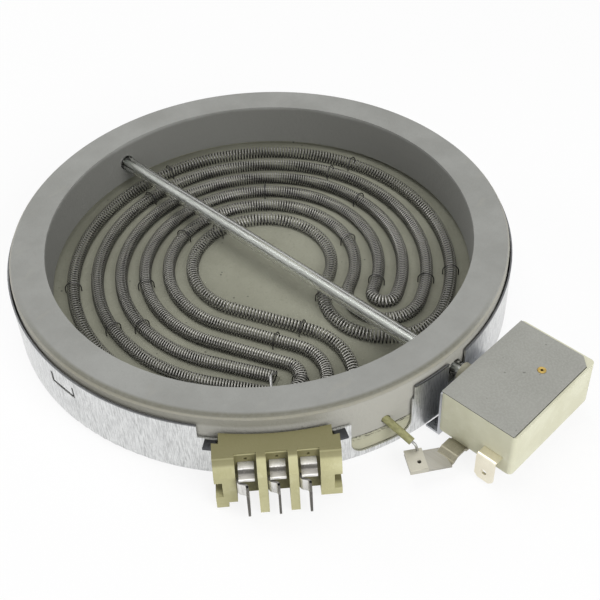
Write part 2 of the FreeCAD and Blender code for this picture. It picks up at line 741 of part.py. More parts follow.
def support_dish():
    """The drawn dish with its wall cut-outs, lanced tongues and connector lugs."""
    body = new_body("dish_pan")
    profile = outline(body, "pan_profile", "XZ_Plane", [
        ("0", "0"), (OUTER, "0"), (OUTER, "dish_wall_height"),
        (INNER, "dish_wall_height"), (INNER, "sheet_thickness"), ("0", "sheet_thickness")])
    pan = revolve(body, profile)
    pan = round_edges(body, pan, "dish_bend_radius", lambda edge: is_circle_at(edge, size(OUTER), 0))
    sheet_gauge = size("sheet_thickness")
    pan = round_edges(body, pan, "dish_bend_radius - sheet_thickness",
                      lambda edge: is_circle_at(edge, size(INNER), sheet_gauge))
    slit = rectangle(body, "tongue_window", "XZ_Plane", ("-tongue_width / 2", "tongue_low"),
                     ("tongue_width / 2", "tongue_high"), "-dish_outer_radius")
    slit_cut = pocket(body, slit, "8 * sheet_thickness")
    flap = rectangle(body, "tongue", "XZ_Plane",
                     ("tongue_inset - tongue_width / 2", "tongue_low + tongue_inset"),
                     ("tongue_width / 2 - tongue_inset", "tongue_high + tongue_root"),
                     "-(%s + sheet_thickness / 2)" % INNER)
    flap_pad = pad(body, flap, "ring_gap")
    pattern = body.newObject("PartDesign::PolarPattern", "tongues")
    pattern.Originals = [slit_cut, flap_pad]
    pattern.Axis = ([item for item in body.Origin.OriginFeatures if item.Role == "Z_Axis"][0], [""])
    pattern.Angle = 180
    pattern.Occurrences = 3
    body.Tip = pattern
    doc.recompute()

    inner = size(INNER + " - block_root")
    outer = size(OUTER + " + block_root")
    above = size("dish_wall_height") + PAST
    notch = ring_sector(inner, outer, -size("notch_start"), -size("notch_end"), size("notch_height"), above)
    half = math.degrees(math.asin(size("opening_width / 2 / dish_outer_radius")))
    opening = ring_sector(inner, outer, connector_turn - half, connector_turn + half,
                          size("opening_low"), above)
    slot = block("tube_slot", (OUTER + " - 2 * collar_radius", "-collar_radius - collar_way",
                               "tube_height - collar_radius - collar_way"),
                 (OUTER + " + 2 * collar_radius", "collar_radius + collar_way", "dish_wall_height + 1"))
    opened = cut("dish_opened", body, feature("wall_notch", notch), feature("lead_window", lead_window()),
                 feature("connector_opening", opening), slot)
    near = math.degrees(math.asin(size("(block_top_width / 2 + lug_gap) / dish_outer_radius")))
    far = math.degrees(math.asin(size("(block_top_width / 2 + lug_gap + lug_width) / dish_outer_radius")))
    top = size("notch_height")
    gauge = size("sheet_thickness")
    reach = size(OUTER + " + lug_reach")
    lugs = []
    for start in (connector_turn - far, connector_turn + near):
        end = start + far - near
        shelf = ring_sector(size(INNER) + gauge / 4, reach, start, end, top - gauge, top)
        lip = ring_sector(reach - gauge, reach, start, end, top - size("lug_lip"), top)
        lugs += [feature("lug_shelf", shelf), feature("lug_lip", lip)]
    keep(fuse("dish", opened, *lugs), "support_dish")


def insulation():
    """The base with the winding pressed into it, and the fibre ring on top."""
    body = new_body("base_disc")
    round_plate = disc(body, "base_outline", "XY_Plane", ("0", "0"), INNER + " - base_gap",
                       "sheet_thickness")
    plate = pad(body, round_plate, "floor_height - sheet_thickness")
    foot = size("sheet_thickness")
    edge_radius = size(INNER + " - base_gap")
    round_edges(body, plate, "dish_bend_radius", lambda edge: is_circle_at(edge, edge_radius, foot))
    groove_radius = size("coil_diameter / 2 + groove_clearance")
    groove = tube_along(route, groove_radius)
    start = route.OrderedEdges[0].valueAt(route.OrderedEdges[0].FirstParameter)
    open_end = Vector(free_end.x, free_end.y, start.z)
    heading = (open_end - start).normalize()
    bed = bar(start - heading, open_end + heading * size("coil_wire"), groove_radius)
    well = post("floor_well", "ring_inner_radius + well_undercut", "0", "0", "well_height",
                "floor_height + 1")
    room = lead_radius + size("lead_room")
    lead_way = tube_along(limiter_lead_wire, room)
    bedded = cut("base", body, well, feature("coil_groove", groove), feature("open_turn_bed", bed),
                 feature("base_lead_way", lead_way))
    keep(bedded, "insulation_base")

    body = new_body("ring_body")
    profile = outline(body, "ring_profile", "XZ_Plane", [
        ("ring_inner_radius", "floor_height"), ("ring_outer_radius", "floor_height"),
        ("ring_outer_radius", "ring_top_height - ring_bevel"),
        ("ring_outer_radius - ring_bevel", "ring_top_height"), ("ring_inner_radius", "ring_top_height")])
    revolve(body, profile)
    bore = rod_along_x("tube_bores", "tube_outer_radius + tube_clearance",
                       "-dish_outer_radius", "dish_outer_radius")
    exits = [lead_way,
             bar(sleeve_start - sleeve_run * size("lead_room"), sleeve_end,
                 size("sleeve_radius + sleeve_room")),
             bar(inner_lead_spots[1], inner_lead_spots[2], room)]
    tools = [feature("lead_exit", shape) for shape in exits]
    keep(cut("ring", body, bore, *tools), "insulation_ring")


support_dish()
insulation()

# Connector block and terminals, in a frame with X along the block's own radius

BAY = "(dish_outer_radius + block_depth)"
FRONT = "(dish_outer_radius + block_side_depth)"
SIDES = (-1, 1)


def connector_block():
    """The moulded block: cheeks, barrier ribs, bays and slotted ears."""
    body = new_body("block_body")
    back = "dish_outer_radius - block_root"
    foot = rectangle(body, "left_foot", "XY_Plane", (FRONT + " - left_foot_depth", "-block_width / 2"),
                     (FRONT, "left_foot_width - block_width / 2"), "left_foot_low")
    pad(body, foot, "block_brow - left_foot_low")
    profile = outline(body, "block_profile", "XZ_Plane", [
        (back, "block_foot"), (FRONT, "block_foot"), (FRONT, "block_brow"),
        (BAY + " + block_slope", "block_top"), (back, "block_top")])
    pad(body, profile, "block_width", both_ways=True)
    bays = rectangle(body, "bays", "XY_Plane", (BAY, "-bay_width / 2"), (FRONT + " + 1", "bay_width / 2"))
    pocket(body, bays, "4 * block_top")
    for side in SIDES:
        slot = rectangle(body, "ear_slot", "YZ_Plane",
                         ("%d * (block_width / 2 - ear_slot_width)" % side, "ear_slot_low"),
                         ("%d * (block_width / 2 + 1)" % side, "ear_slot_high"), BAY)
        pocket(body, slot, "4 * block_width")
        rib = outline(body, "rib", "XZ_Plane", [
            (BAY + " - rib_root", "rib_foot"), ("dish_outer_radius + rib_depth", "rib_foot"),
            ("dish_outer_radius + rib_depth", "block_top - rib_brow"), (BAY + " + block_slope", "block_top"),
            (BAY + " - rib_root", "block_top")], "%d * terminal_pitch / 2" % side)
        pad(body, rib, "rib_width", both_ways=True)
    wall = post("wall_face", "dish_outer_radius + block_seat", "0", "0", "0", "2 * block_top")
    lead_way = bar(Vector(size(back), 0, lead_height), Vector(tail_end + size("lead_room"), 0, lead_height),
                   lead_radius + size("lead_room"))
    tools = [wall, feature("lead_hole", lead_way)]
    lug_way = Part.makeCylinder(size("dish_outer_radius + lug_reach + lug_gap"), size("2 * block_top"))
    depth = size("block_top - block_shoulder") + PAST
    width = size("(block_width - block_top_width) / 2") + PAST
    for side in SIDES:
        middle = side * (size("block_top_width") + width) / 2
        seat = Part.makeBox(size(FRONT), width, depth, Vector(0, middle - width / 2, size("block_shoulder")))
        tools.append(feature("lug_seat", seat.common(lug_way)))
    gap = "terminal_slot_clearance"
    for place in (-1, 0, 1):
        middle = "%d * terminal_pitch" % place
        tools.append(block("tail_slot",
                           ("dish_outer_radius + terminal_root - " + gap,
                            middle + " - terminal_width / 2 - " + gap, "terminal_height - " + gap),
                           (BAY + " + 1", middle + " + terminal_width / 2 + " + gap,
                            "terminal_height + terminal_sheet + " + gap)))
        pilot = Vector(size(BAY), size(middle), size("pilot_height"))
        tools.append(feature("pilot_hole", bar(pilot - Vector(size("pilot_depth"), 0, 0),
                                               pilot + Vector(PAST, 0, 0), size("pilot_radius"))))
    keep(turn_to(cut("block", body, *tools), "connector_angle"), "connector_block")


def terminal(place, label):
    """A stepped plate with a folded wing that carries the push-on blade."""
    body = new_body(label + "_body")
    middle = "(%d * terminal_pitch)" % place
    step = "terminal_height - terminal_step"
    root = "dish_outer_radius + terminal_root"
    bend = BAY + " + terminal_bend"
    nose = BAY + " + terminal_reach"
    top = "terminal_height + terminal_sheet"
    plate = outline(body, "plate", "XZ_Plane", [
        (root, "terminal_height"), (bend, "terminal_height"), (bend + " + terminal_slope", step),
        (nose, step), (nose, step + " + terminal_sheet"),
        (bend + " + terminal_slope + terminal_sheet / 2", step + " + terminal_sheet"),
        (bend + " + terminal_sheet / 2", top), (root, top)], "-" + middle)
    pad(body, plate, "terminal_width", both_ways=True)
    wing = rectangle(body, "wing", "YZ_Plane",
                     (middle + " - terminal_width / 2 - wing_side", step + " - wing_height"),
                     (middle + " + terminal_sheet / 2", step + " + terminal_sheet / 2"),
                     nose + " - terminal_sheet")
    pad(body, wing, "terminal_sheet")
    tail = nose + " - terminal_sheet"
    front = tail + " + blade_width"
    blade = outline(body, "blade", "XZ_Plane", [
        (tail, step + " - blade_neck"), (tail, "blade_tip + blade_corner"),
        (tail + " + blade_corner", "blade_tip"), (front + " - blade_corner", "blade_tip"),
        (front, "blade_tip + blade_corner"), (front, step + " - blade_shoulder"),
        (nose + " + blade_neck", step + " - blade_neck")], "-" + middle)
    pad(body, blade, "terminal_sheet", both_ways=True)
    keep(turn_to(body, "connector_angle"), label)


connector_block()
for place, label in ((-1, "terminal_left"), (0, "terminal_middle"), (1, "terminal_right")):
    terminal(place, label)

# Temperature limiter: sensor tube and rod, switch housing, terminals

START_X = "(dish_outer_radius + housing_gap)"
END_X = "(dish_outer_radius + housing_gap + housing_length)"
LOW_Y = "(-housing_side)"
HIGH_Y = "(housing_width - housing_side)"
ROD_END = "(dish_outer_radius + housing_gap + housing_wall + rod_exit)"
PIN_TIP = "(%s + pin_length)" % ROD_END
ARM_FACE = "(%s + push_gap)" % PIN_TIP
POST_X = "(%s + arm_sheet / 2)" % ARM_FACE
CONTACT_Y = "(contact_reach - post_offset)"
CONTACT_Z = "((arm_low + arm_high) / 2)"


def sensor():
    """Quartz tube, expansion rod and the stop at their far end."""
    end = "%s + housing_wall - tube_seat" % START_X
    outside = rod_along_x("tube_outside", "tube_outer_radius", "-tube_far_end", end)
    inside = rod_along_x("tube_inside", "tube_inner_radius", "-tube_far_end - 1", end + " + 1")
    keep(cut("tube", outside, inside), "limiter_tube")
    washer_end = "(-tube_far_end - washer_thickness)"
    nut_end = "(-tube_far_end - washer_thickness - nut_length)"
    hole = rod_along_x("stop_hole", "rod_radius + rod_clearance", nut_end + " - 1", "0")
    washer = rod_along_x("washer_disc", "tube_outer_radius", washer_end, "-tube_far_end")
    keep(cut("washer", washer, hole), "rod_end_washer")
    prism = doc.addObject("Part::Prism", "nut_prism")
    prism.Polygon = 6
    prism.Placement = Placement(Vector(), Rotation(Vector(0, 1, 0), 90))
    bind(prism, Circumradius="nut_radius", Height="nut_length", Placement__Base__x=nut_end,
         Placement__Base__z="tube_height")
    keep(cut("nut", prism, hole), "rod_end_nut")
    keep(rod_along_x("rod", "rod_radius", nut_end + " - rod_overhang", ROD_END), "expansion_rod")
    keep(rod_along_x("pin", "pin_radius", ROD_END, PIN_TIP), "transfer_pin")


def housing():
    """The ceramic switch housing, its cover plate and the hollow rivet."""
    body = new_body("housing_body")
    plan = rectangle(body, "housing_plan", "XY_Plane", (START_X, LOW_Y), (END_X, HIGH_Y), "housing_low")
    shell = pad(body, plan, "housing_high - housing_low")
    round_edges(body, shell, "housing_edge", is_upright)
    seat = cover_plan(body, "cover_seat", "cover_margin", "housing_high")
    pocket(body, seat, "2 * cover_thickness")
    wall = "housing_wall"
    cavity = rectangle(body, "cavity", "XY_Plane", (START_X + " + " + wall, LOW_Y + " + " + wall),
                       (END_X + " - " + wall, HIGH_Y + " - " + wall), "housing_high")
    pocket(body, cavity, "2 * (housing_high - housing_low - housing_wall)")
    collar = rod_along_x("collar", "collar_radius", START_X + " - collar_length", START_X + " + 1")
    bore = rod_along_x("collar_bore", "tube_outer_radius + collar_clearance",
                       START_X + " - collar_length - 1", START_X + " + housing_wall + 1")
    gap = "tab_slot_clearance"
    slot = block("tab_slot", ("tab_x - tab_width / 2 - " + gap, LOW_Y + " - 1", "tab_height - " + gap),
                 ("tab_x + tab_width / 2 + " + gap, LOW_Y + " + housing_wall + 1",
                  "tab_height + tab_sheet + " + gap))
    rivet_hole = post("rivet_hole", "eyelet_radius + eyelet_clearance", "eyelet_x", "eyelet_y",
                      "housing_low - 1", "housing_low + housing_wall + 1")
    post_hole = post("post_hole", "post_radius + eyelet_clearance", POST_X, "-post_offset",
                     "housing_low - 1", "housing_low + housing_wall + 1")
    necked = fuse("necked_housing", body, collar)
    keep(cut("switch_housing", necked, bore, slot, rivet_hole, post_hole), "limiter_housing")

    body = new_body("cover_body")
    plate = cover_plan(body, "cover_outline", "cover_margin + cover_gap",
                       "housing_high - cover_thickness")
    pad(body, plate, "cover_thickness")
    hole = disc(body, "cover_hole", "XY_Plane", ("eyelet_x", "eyelet_y"),
                "eyelet_radius + eyelet_clearance", "housing_high")
    pocket(body, hole, "4 * cover_thickness")
    keep(body, "limiter_cover")

    shank = post("shank", "eyelet_radius", "eyelet_x", "eyelet_y", "housing_low", "housing_high")
    head = post("head", "eyelet_head_radius", "eyelet_x", "eyelet_y",
                "housing_high", "housing_high + eyelet_head")
    foot = post("foot", "eyelet_head_radius", "eyelet_x", "eyelet_y",
                "housing_low - eyelet_head", "housing_low")
    bore = post("eyelet_hole", "eyelet_bore", "eyelet_x", "eyelet_y", "housing_low - 1", "housing_high + 1")
    keep(cut("eyelet", fuse("eyelet_solid", shank, head, foot), bore), "cover_eyelet")


def cover_plan(body, name, margin, offset):
    """The cover's outline with its cut corner, at a margin inside the housing."""
    right = "%s - (%s)" % (END_X, margin)
    top = "%s - (%s)" % (HIGH_Y, margin)
    left = "%s + (%s)" % (START_X, margin)
    low = "%s + (%s)" % (LOW_Y, margin)
    corners = [(left, low), (right, low), (right, top + " - cover_corner"),
               (right + " - cover_corner", top), (left, top)]
    return outline(body, name, "XY_Plane", corners, offset)


def bracket():
    """The bent plate between the dish wall and the housing."""
    body = new_body("bracket_body")
    gauge = "bracket_sheet"
    behind = START_X + " - bracket_sheet"
    profile = outline(body, "bracket_profile", "XZ_Plane", [
        ("dish_outer_radius - bracket_root", "bracket_low"), (START_X, "bracket_low"),
        (START_X, "housing_low - " + gauge), (START_X + " + bracket_lip", "housing_low - " + gauge),
        (START_X + " + bracket_lip", "housing_low"), (START_X, "housing_low"),
        (START_X, "bracket_high"),
        (behind, "bracket_high"), (behind, "bracket_low + " + gauge),
        ("dish_outer_radius - bracket_root", "bracket_low + " + gauge)],
        "bracket_inset - housing_width + housing_side")
    pad(body, profile, "housing_width - 2 * bracket_inset")
    dish = post("dish_face", "dish_outer_radius + bracket_gap", "0", "0", "0", "bracket_high + 1")
    hole = rod_along_x("neck_way", "collar_radius + collar_way / 2", "dish_outer_radius", START_X + " + 1")
    keep(cut("limiter_holder", body, dish, hole), "limiter_bracket")


def limiter_terminals():
    """The push-on tab, the strap to the coil's lead and its clinch plate."""
    body = new_body("tab_body")
    outer = LOW_Y + " - tab_reach"
    inner = LOW_Y + " + housing_wall + tab_root"
    top = "tab_height + tab_sheet"
    profile = outline(body, "tab_profile", "YZ_Plane", [
        (inner, "tab_height"), (outer + " + tab_sheet", "tab_height"), (outer + " + tab_sheet", "tab_tip"),
        (outer, "tab_tip"), (outer, top), (inner, top)], "tab_x")
    plate = pad(body, profile, "tab_width", both_ways=True)
    tip = size("tab_tip")
    edge_y, edge_z = size(outer), size(top)
    plate = round_edges(body, plate, "tab_bend", lambda edge: is_along_x(edge, edge_y, edge_z))
    ends = [name for name, edge in numbered(plate) if abs(edge.CenterOfMass.z - tip) < 1e-6
            and abs(edge.tangentAt(0).y) > 0.99]
    corners = body.newObject("PartDesign::Chamfer", "tab_corners")
    corners.Base = (plate, ends)
    bind(corners, Size="tab_corner")
    doc.recompute()
    hole = disc(body, "tab_hole", "XZ_Plane", ("tab_x", "tab_hole_height"), "tab_hole_radius",
                "housing_side + tab_reach")
    pocket(body, hole, "4 * tab_sheet")
    keep(body, "limiter_tab")

    body = new_body("strap_body")
    half = "strap_width / 2"
    wide = "strap_end_width / 2"
    slip = "((%s - %s * sin(strap_turn)) / cos(strap_turn))" % (half, wide)
    plan = outline(body, "strap_plan", "XY_Plane", [
        ("strap_x - " + half, "strap_root - post_offset"), strap_spot(slip, "-" + wide),
        strap_spot("strap_leg", "-" + wide), strap_spot("strap_leg", wide),
        strap_spot("-" + slip, wide), ("strap_x + " + half, "strap_root - post_offset")],
        "housing_low - strap_sheet")
    pad(body, plan, "strap_sheet")
    keep(body, "limiter_strap")

    body = new_body("clip_body")
    plate = strap_plan(body, "clip_plan", "strap_leg - clip_length", "strap_leg", "-" + wide,
                       "clip_width - " + wide, "housing_low")
    pad(body, plate, "clip_sheet")
    middle = strap_spot("strap_leg - clip_hole_inset", "clip_hole_side - " + wide)
    hole = disc(body, "clip_hole", "XY_Plane", middle, "clip_hole_radius", "housing_low")
    pocket(body, hole, "4 * clip_sheet")
    seat = tube_along(limiter_lead_wire, lead_radius + size("clip_seat"))
    keep(cut("clip", body, feature("clip_lead_seat", seat)), "strap_clip")


def strap_spot(along, across):
    """A point of the strap's second leg, as two expressions."""
    return ("strap_x - (%s) * cos(strap_turn) + (%s) * sin(strap_turn)" % (along, across),
            "-strap_bend_y - (%s) * sin(strap_turn) - (%s) * cos(strap_turn)" % (along, across))


def strap_plan(body, name, near, far, left, right, offset):
    """A rectangle laid along the strap's second leg."""
    corners = [strap_spot(near, left), strap_spot(far, left), strap_spot(far, right),
               strap_spot(near, right)]
    return outline(body, name, "XY_Plane", corners, offset)


def switch():
    """The contact arm on its post and the fixed contact it rests on when cold."""
    pivot = post("post", "post_radius", POST_X, "-post_offset", "housing_low", "arm_high + post_head")
    keep(pivot, "arm_post")
    body = new_body("arm_body")
    leaf = rectangle(body, "leaf", "XY_Plane",
                     (POST_X + " - arm_sheet / 2", "arm_eye - eye_lap - post_offset"),
                     (POST_X + " + arm_sheet / 2", "arm_length - post_offset"), "arm_low")
    pad(body, leaf, "arm_high - arm_low")
    eye = disc(body, "eye", "XY_Plane", (POST_X, "-post_offset"), "arm_eye", "arm_low")
    pad(body, eye, "arm_high - arm_low")
    hole = disc(body, "eye_hole", "XY_Plane", (POST_X, "-post_offset"),
                "post_radius + post_clearance", "arm_low")
    pocket(body, hole, "4 * (arm_high - arm_low)")
    keep(body, "contact_arm")
    face = ARM_FACE + " - contact_length"
    fixed_face = face + " - contact_gap"
    fixed_back = fixed_face + " - contact_length"
    for name, start, end, label in (("rivet", face, ARM_FACE, "moving_contact"),
                                    ("button", fixed_back, fixed_face, "fixed_contact")):
        contact = rod_along_x(name, "contact_radius", start, end)
        bind(contact, Placement__Base__y=CONTACT_Y, Placement__Base__z=CONTACT_Z)
        keep(contact, label)
    body = new_body("strip_body")
    low = "tab_height + tab_sheet"
    left, right = "tab_x - strip_width / 2", "tab_x + strip_width / 2"
    upright = fixed_back + " - strip_riser"
    near = CONTACT_Y + " - strip_side"
    far = near + " + strip_width"
    root = LOW_Y + " + housing_wall + strip_gap"
    plan = outline(body, "strip_plan", "XY_Plane", [
        (left, root), (right, root), (right, far), (upright, far), (upright, near), (left, near)], low)
    pad(body, plan, "strip_sheet")
    riser = rectangle(body, "riser", "XY_Plane", (upright, near), (fixed_back, far), low)
    pad(body, riser, "arm_high - (%s)" % low)
    keep(body, "fixed_contact_strip")


sensor()
housing()
bracket()
limiter_terminals()
switch()

# Recompute, test every object and write the sub-parts

doc.recompute()
for obj in doc.Objects:
    if "Invalid" in obj.State or "Error" in obj.State:
        raise RuntimeError("%s (%s) failed: %s" % (obj.Name, obj.Label, obj.State))
for obj in parts:
    if obj.Shape.isNull() or not obj.Shape.isValid() or not obj.Shape.Solids:
        raise RuntimeError("%s has no valid solid" % obj.Label)
os.makedirs("parts", exist_ok=True)
for obj in parts:
    obj.Shape.exportStep("parts/%s.step" % obj.Label)
print("%d sub-parts written" % len(parts))
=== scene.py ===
"""Looks of an under-glass radiant heater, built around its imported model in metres."""

import logging
import math
from dataclasses import dataclass, field
from enum import Enum
from typing import Any, Optional, Sequence, Union

import bpy
from mathutils import Matrix, Vector


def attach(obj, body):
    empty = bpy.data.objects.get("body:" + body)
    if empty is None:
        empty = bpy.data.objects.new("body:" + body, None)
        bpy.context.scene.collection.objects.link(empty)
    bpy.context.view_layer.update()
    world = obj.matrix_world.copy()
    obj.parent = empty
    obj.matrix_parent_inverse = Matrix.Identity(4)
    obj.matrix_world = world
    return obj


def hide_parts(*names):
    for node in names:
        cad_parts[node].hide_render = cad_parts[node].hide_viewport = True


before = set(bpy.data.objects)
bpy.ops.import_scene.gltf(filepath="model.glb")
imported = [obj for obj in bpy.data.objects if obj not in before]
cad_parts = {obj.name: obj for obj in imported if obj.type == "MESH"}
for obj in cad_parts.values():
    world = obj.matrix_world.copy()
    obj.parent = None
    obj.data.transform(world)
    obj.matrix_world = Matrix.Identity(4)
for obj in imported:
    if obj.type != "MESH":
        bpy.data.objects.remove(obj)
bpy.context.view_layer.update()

MM = 0.001
ROOT_BODY = "heater"
ROD_BODY = "sensor_rod"
BLOCK_TURN = -41.7
log = logging.getLogger("heater")

Number = Union[int, float]
Colour = tuple[float, float, float]
Point = tuple[float, float, float]
Spot = tuple[float, float]
Coats = tuple[tuple[str, ...], ...]
Piece = bpy.types.Object
Material = bpy.types.Material
WHITE: Colour = (1.0, 1.0, 1.0)


class Grain(Enum):
    """How a sheet was worked, as the stretch of its fine lines along each axis."""

    ROLLED_UPRIGHT = (1.0, 1.0, 0.03)
    ROLLED_FLAT = (0.05, 1.0, 1.0)
    PLAIN = (1.0, 1.0, 1.0)


class Socket:
    """An output of a shader node, with arithmetic that adds Math nodes."""

    def __init__(self, tree: "Tree", link: Any) -> None:
        """Wraps a socket of a tree."""
        self.tree = tree
        self.link = link

    def __add__(self, other: Any) -> "Socket":
        """Sum."""
        return self.tree.math("ADD", self, other)

    __radd__ = __add__

    def __sub__(self, other: Any) -> "Socket":
        """Difference."""
        return self.tree.math("SUBTRACT", self, other)

    def __rsub__(self, other: Any) -> "Socket":
        """Difference from a number."""
        return self.tree.math("SUBTRACT", other, self)

    def __mul__(self, other: Any) -> "Socket":
        """Product."""
        return self.tree.math("MULTIPLY", self, other)

    __rmul__ = __mul__

    def __truediv__(self, other: Any) -> "Socket":
        """Quotient."""
        return self.tree.math("DIVIDE", self, other)

    def most(self, other: Any) -> "Socket":
        """The larger of two values."""
        return self.tree.math("MAXIMUM", self, other)

    def above(self, low: Number, high: Number) -> "Socket":
        """A smooth step from 0 at low to 1 at high."""
        return self.tree.node("ShaderNodeMapRange", {"interpolation_type": "SMOOTHSTEP"},
                              {0: self, 1: low, 2: high, 3: 0.0, 4: 1.0}).out(0)


class Node:
    """A shader node with its outputs as sockets."""

    def __init__(self, tree: "Tree", raw: Any) -> None:
        """Wraps a node of a tree."""
        self.tree = tree
        self.raw = raw

    def out(self, key: Union[int, str] = 0) -> Socket:
        """One of the node's outputs."""
        return Socket(self.tree, self.raw.outputs[key])


class Tree:
    """The node tree of a new material, or of a new world."""

    def __init__(self, name: str, shelf: Any = None) -> None:
        """Makes an empty tree.

        Args:
            name: the material's or world's name.
            shelf: the list that it is made in, if not the materials.
        """
        self.host = (bpy.data.materials if shelf is None else shelf).new(name)
        self.host.use_nodes = True
        self.nodes = self.host.node_tree.nodes
        self.links = self.host.node_tree.links
        self.nodes.clear()

    def node(self, kind: str, settings: Optional[dict] = None, values: Optional[dict] = None) -> Node:
        """Adds a node, sets it up and feeds its sockets.

        Args:
            kind: the node's type.
            settings: attributes of the node, or a ramp's stops under "stops".
            values: numbers, colours or sockets for its inputs, by name or index.

        Returns:
            The node.
        """
        raw = self.nodes.new(kind)
        for key, value in (settings or {}).items():
            if key == "stops":
                ramp = raw.color_ramp.elements
                while len(ramp) < len(value):
                    ramp.new(0.5)
                for stop, (place, colour) in zip(ramp, value):
                    stop.position = place
                    stop.color = (*colour, 1.0)
            else:
                setattr(raw, key, value)
        for key, value in (values or {}).items():
            if isinstance(value, Socket):
                self.links.new(value.link, raw.inputs[key])
            elif isinstance(value, tuple) and len(value) == 3 and raw.inputs[key].type == "RGBA":
                raw.inputs[key].default_value = (*value, 1.0)
            else:
                raw.inputs[key].default_value = value
        return Node(self, raw)

    def math(self, operation: str, *values: Any) -> Socket:
        """A Math node."""
        return self.node("ShaderNodeMath", {"operation": operation}, dict(enumerate(values))).out(0)

    def place(self, stretch: Sequence[float] = (1.0, 1.0, 1.0), turn: float = 0.0) -> Socket:
        """Object coordinates, turned about Z by an angle in radians and stretched."""
        spot = self.node("ShaderNodeTexCoord").out("Object")
        return self.node("ShaderNodeMapping", None, {"Vector": spot, "Scale": tuple(stretch),
                                                     "Rotation": (0.0, 0.0, turn)}).out(0)

    def axes(self) -> list[Socket]:
        """Object coordinates along X, Y and Z.

        Returns:
            The three coordinates in metres.
        """
        spot = self.node("ShaderNodeTexCoord").out("Object")
        split = self.node("ShaderNodeSeparateXYZ", None, {0: spot})
        return [split.out(axis) for axis in range(3)]

    def around(self) -> tuple[Socket, Socket, Socket]:
        """Angle in radians, radius and height in metres about the dish's axis."""
        x, y, z = self.axes()
        return self.math("ARCTAN2", y, x), self.math("SQRT", x * x + y * y), z

    def turned(self, degrees: float) -> tuple[Socket, Socket, Socket]:
        """Coordinates along a radius of the dish, across it and upwards.

        Args:
            degrees: the radius's angle above +X.

        Returns:
            The three coordinates in metres.
        """
        turn = math.radians(degrees)
        x, y, z = self.axes()
        out = x * math.cos(turn) + y * math.sin(turn)
        return out, y * math.cos(turn) - x * math.sin(turn), z

    def noise(self, vector: Socket, scale: float, detail: float = 3.0, rough: float = 0.5) -> Socket:
        """Noise between 0 and 1 on a vector."""
        return self.node("ShaderNodeTexNoise", None, {"Vector": vector, "Scale": scale, "Detail": detail,
                                                      "Roughness": rough}).out(0)

    def mix(self, factor: Any, first: Any, second: Any) -> Socket:
        """A blend of two colours."""
        return self.node("ShaderNodeMix", {"data_type": "RGBA"}, {0: factor, 6: first, 7: second}).out(2)

    def bump(self, height: Socket, strength: float, distance: float) -> Socket:
        """A bump normal from a height."""
        return self.node("ShaderNodeBump", None, {"Height": height, "Strength": strength,
                                                  "Distance": distance}).out(0)

    def seen(self) -> Socket:
        """1 for the rays that show the background: camera, glossy and transmission rays."""
        rays = self.node("ShaderNodeLightPath")
        return rays.out("Is Camera Ray").most(rays.out("Is Glossy Ray")).most(rays.out("Is Transmission Ray"))

    def surface(self, **values: Any) -> Material:
        """Ends the tree in a Principled shader.

        Args:
            values: the shader's inputs, with spaces written as underscores.

        Returns:
            The finished material.
        """
        shader = self.node("ShaderNodeBsdfPrincipled", None,
                           {key.replace("_", " "): value for key, value in values.items()})
        self.node("ShaderNodeOutputMaterial", None, {"Surface": shader.out(0)})
        return self.host


@dataclass(frozen=True)
class SheetMetal:
    """Rolled or brushed sheet with fine lines and dull patches."""

    name: str
    colour: Colour
    dark: Colour
    grain: Grain = Grain.PLAIN
    roughness: float = 0.34
    lines: float = 0.3
    metallic: float = 0.95
    fine_scale: float = 2600.0
    broad_scale: float = 420.0
    cloud_scale: float = 60.0
    relief: float = 0.10

    def make(self) -> Material:
        """Builds the material.

        Returns:
            The material.
        """
        tree = Tree(self.name)
        worked = tree.place(self.grain.value)
        cloud = tree.noise(tree.place(), self.cloud_scale)
        lines = tree.noise(worked, self.fine_scale, 2.0) * 0.6 + tree.noise(worked, self.broad_scale) * 0.4
        shade = (lines - 0.5) * (2.2 * self.lines) + cloud.above(0.35, 0.7) * 0.35
        colour = tree.mix(shade.above(-0.25, 0.65), self.dark, self.colour)
        rough = self.roughness + (lines - 0.5) * self.lines + (cloud - 0.5) * 0.16
        return tree.surface(Base_Color=colour, Metallic=self.metallic, Roughness=rough,
                            Normal=tree.bump(lines, self.relief, 0.3 * MM))


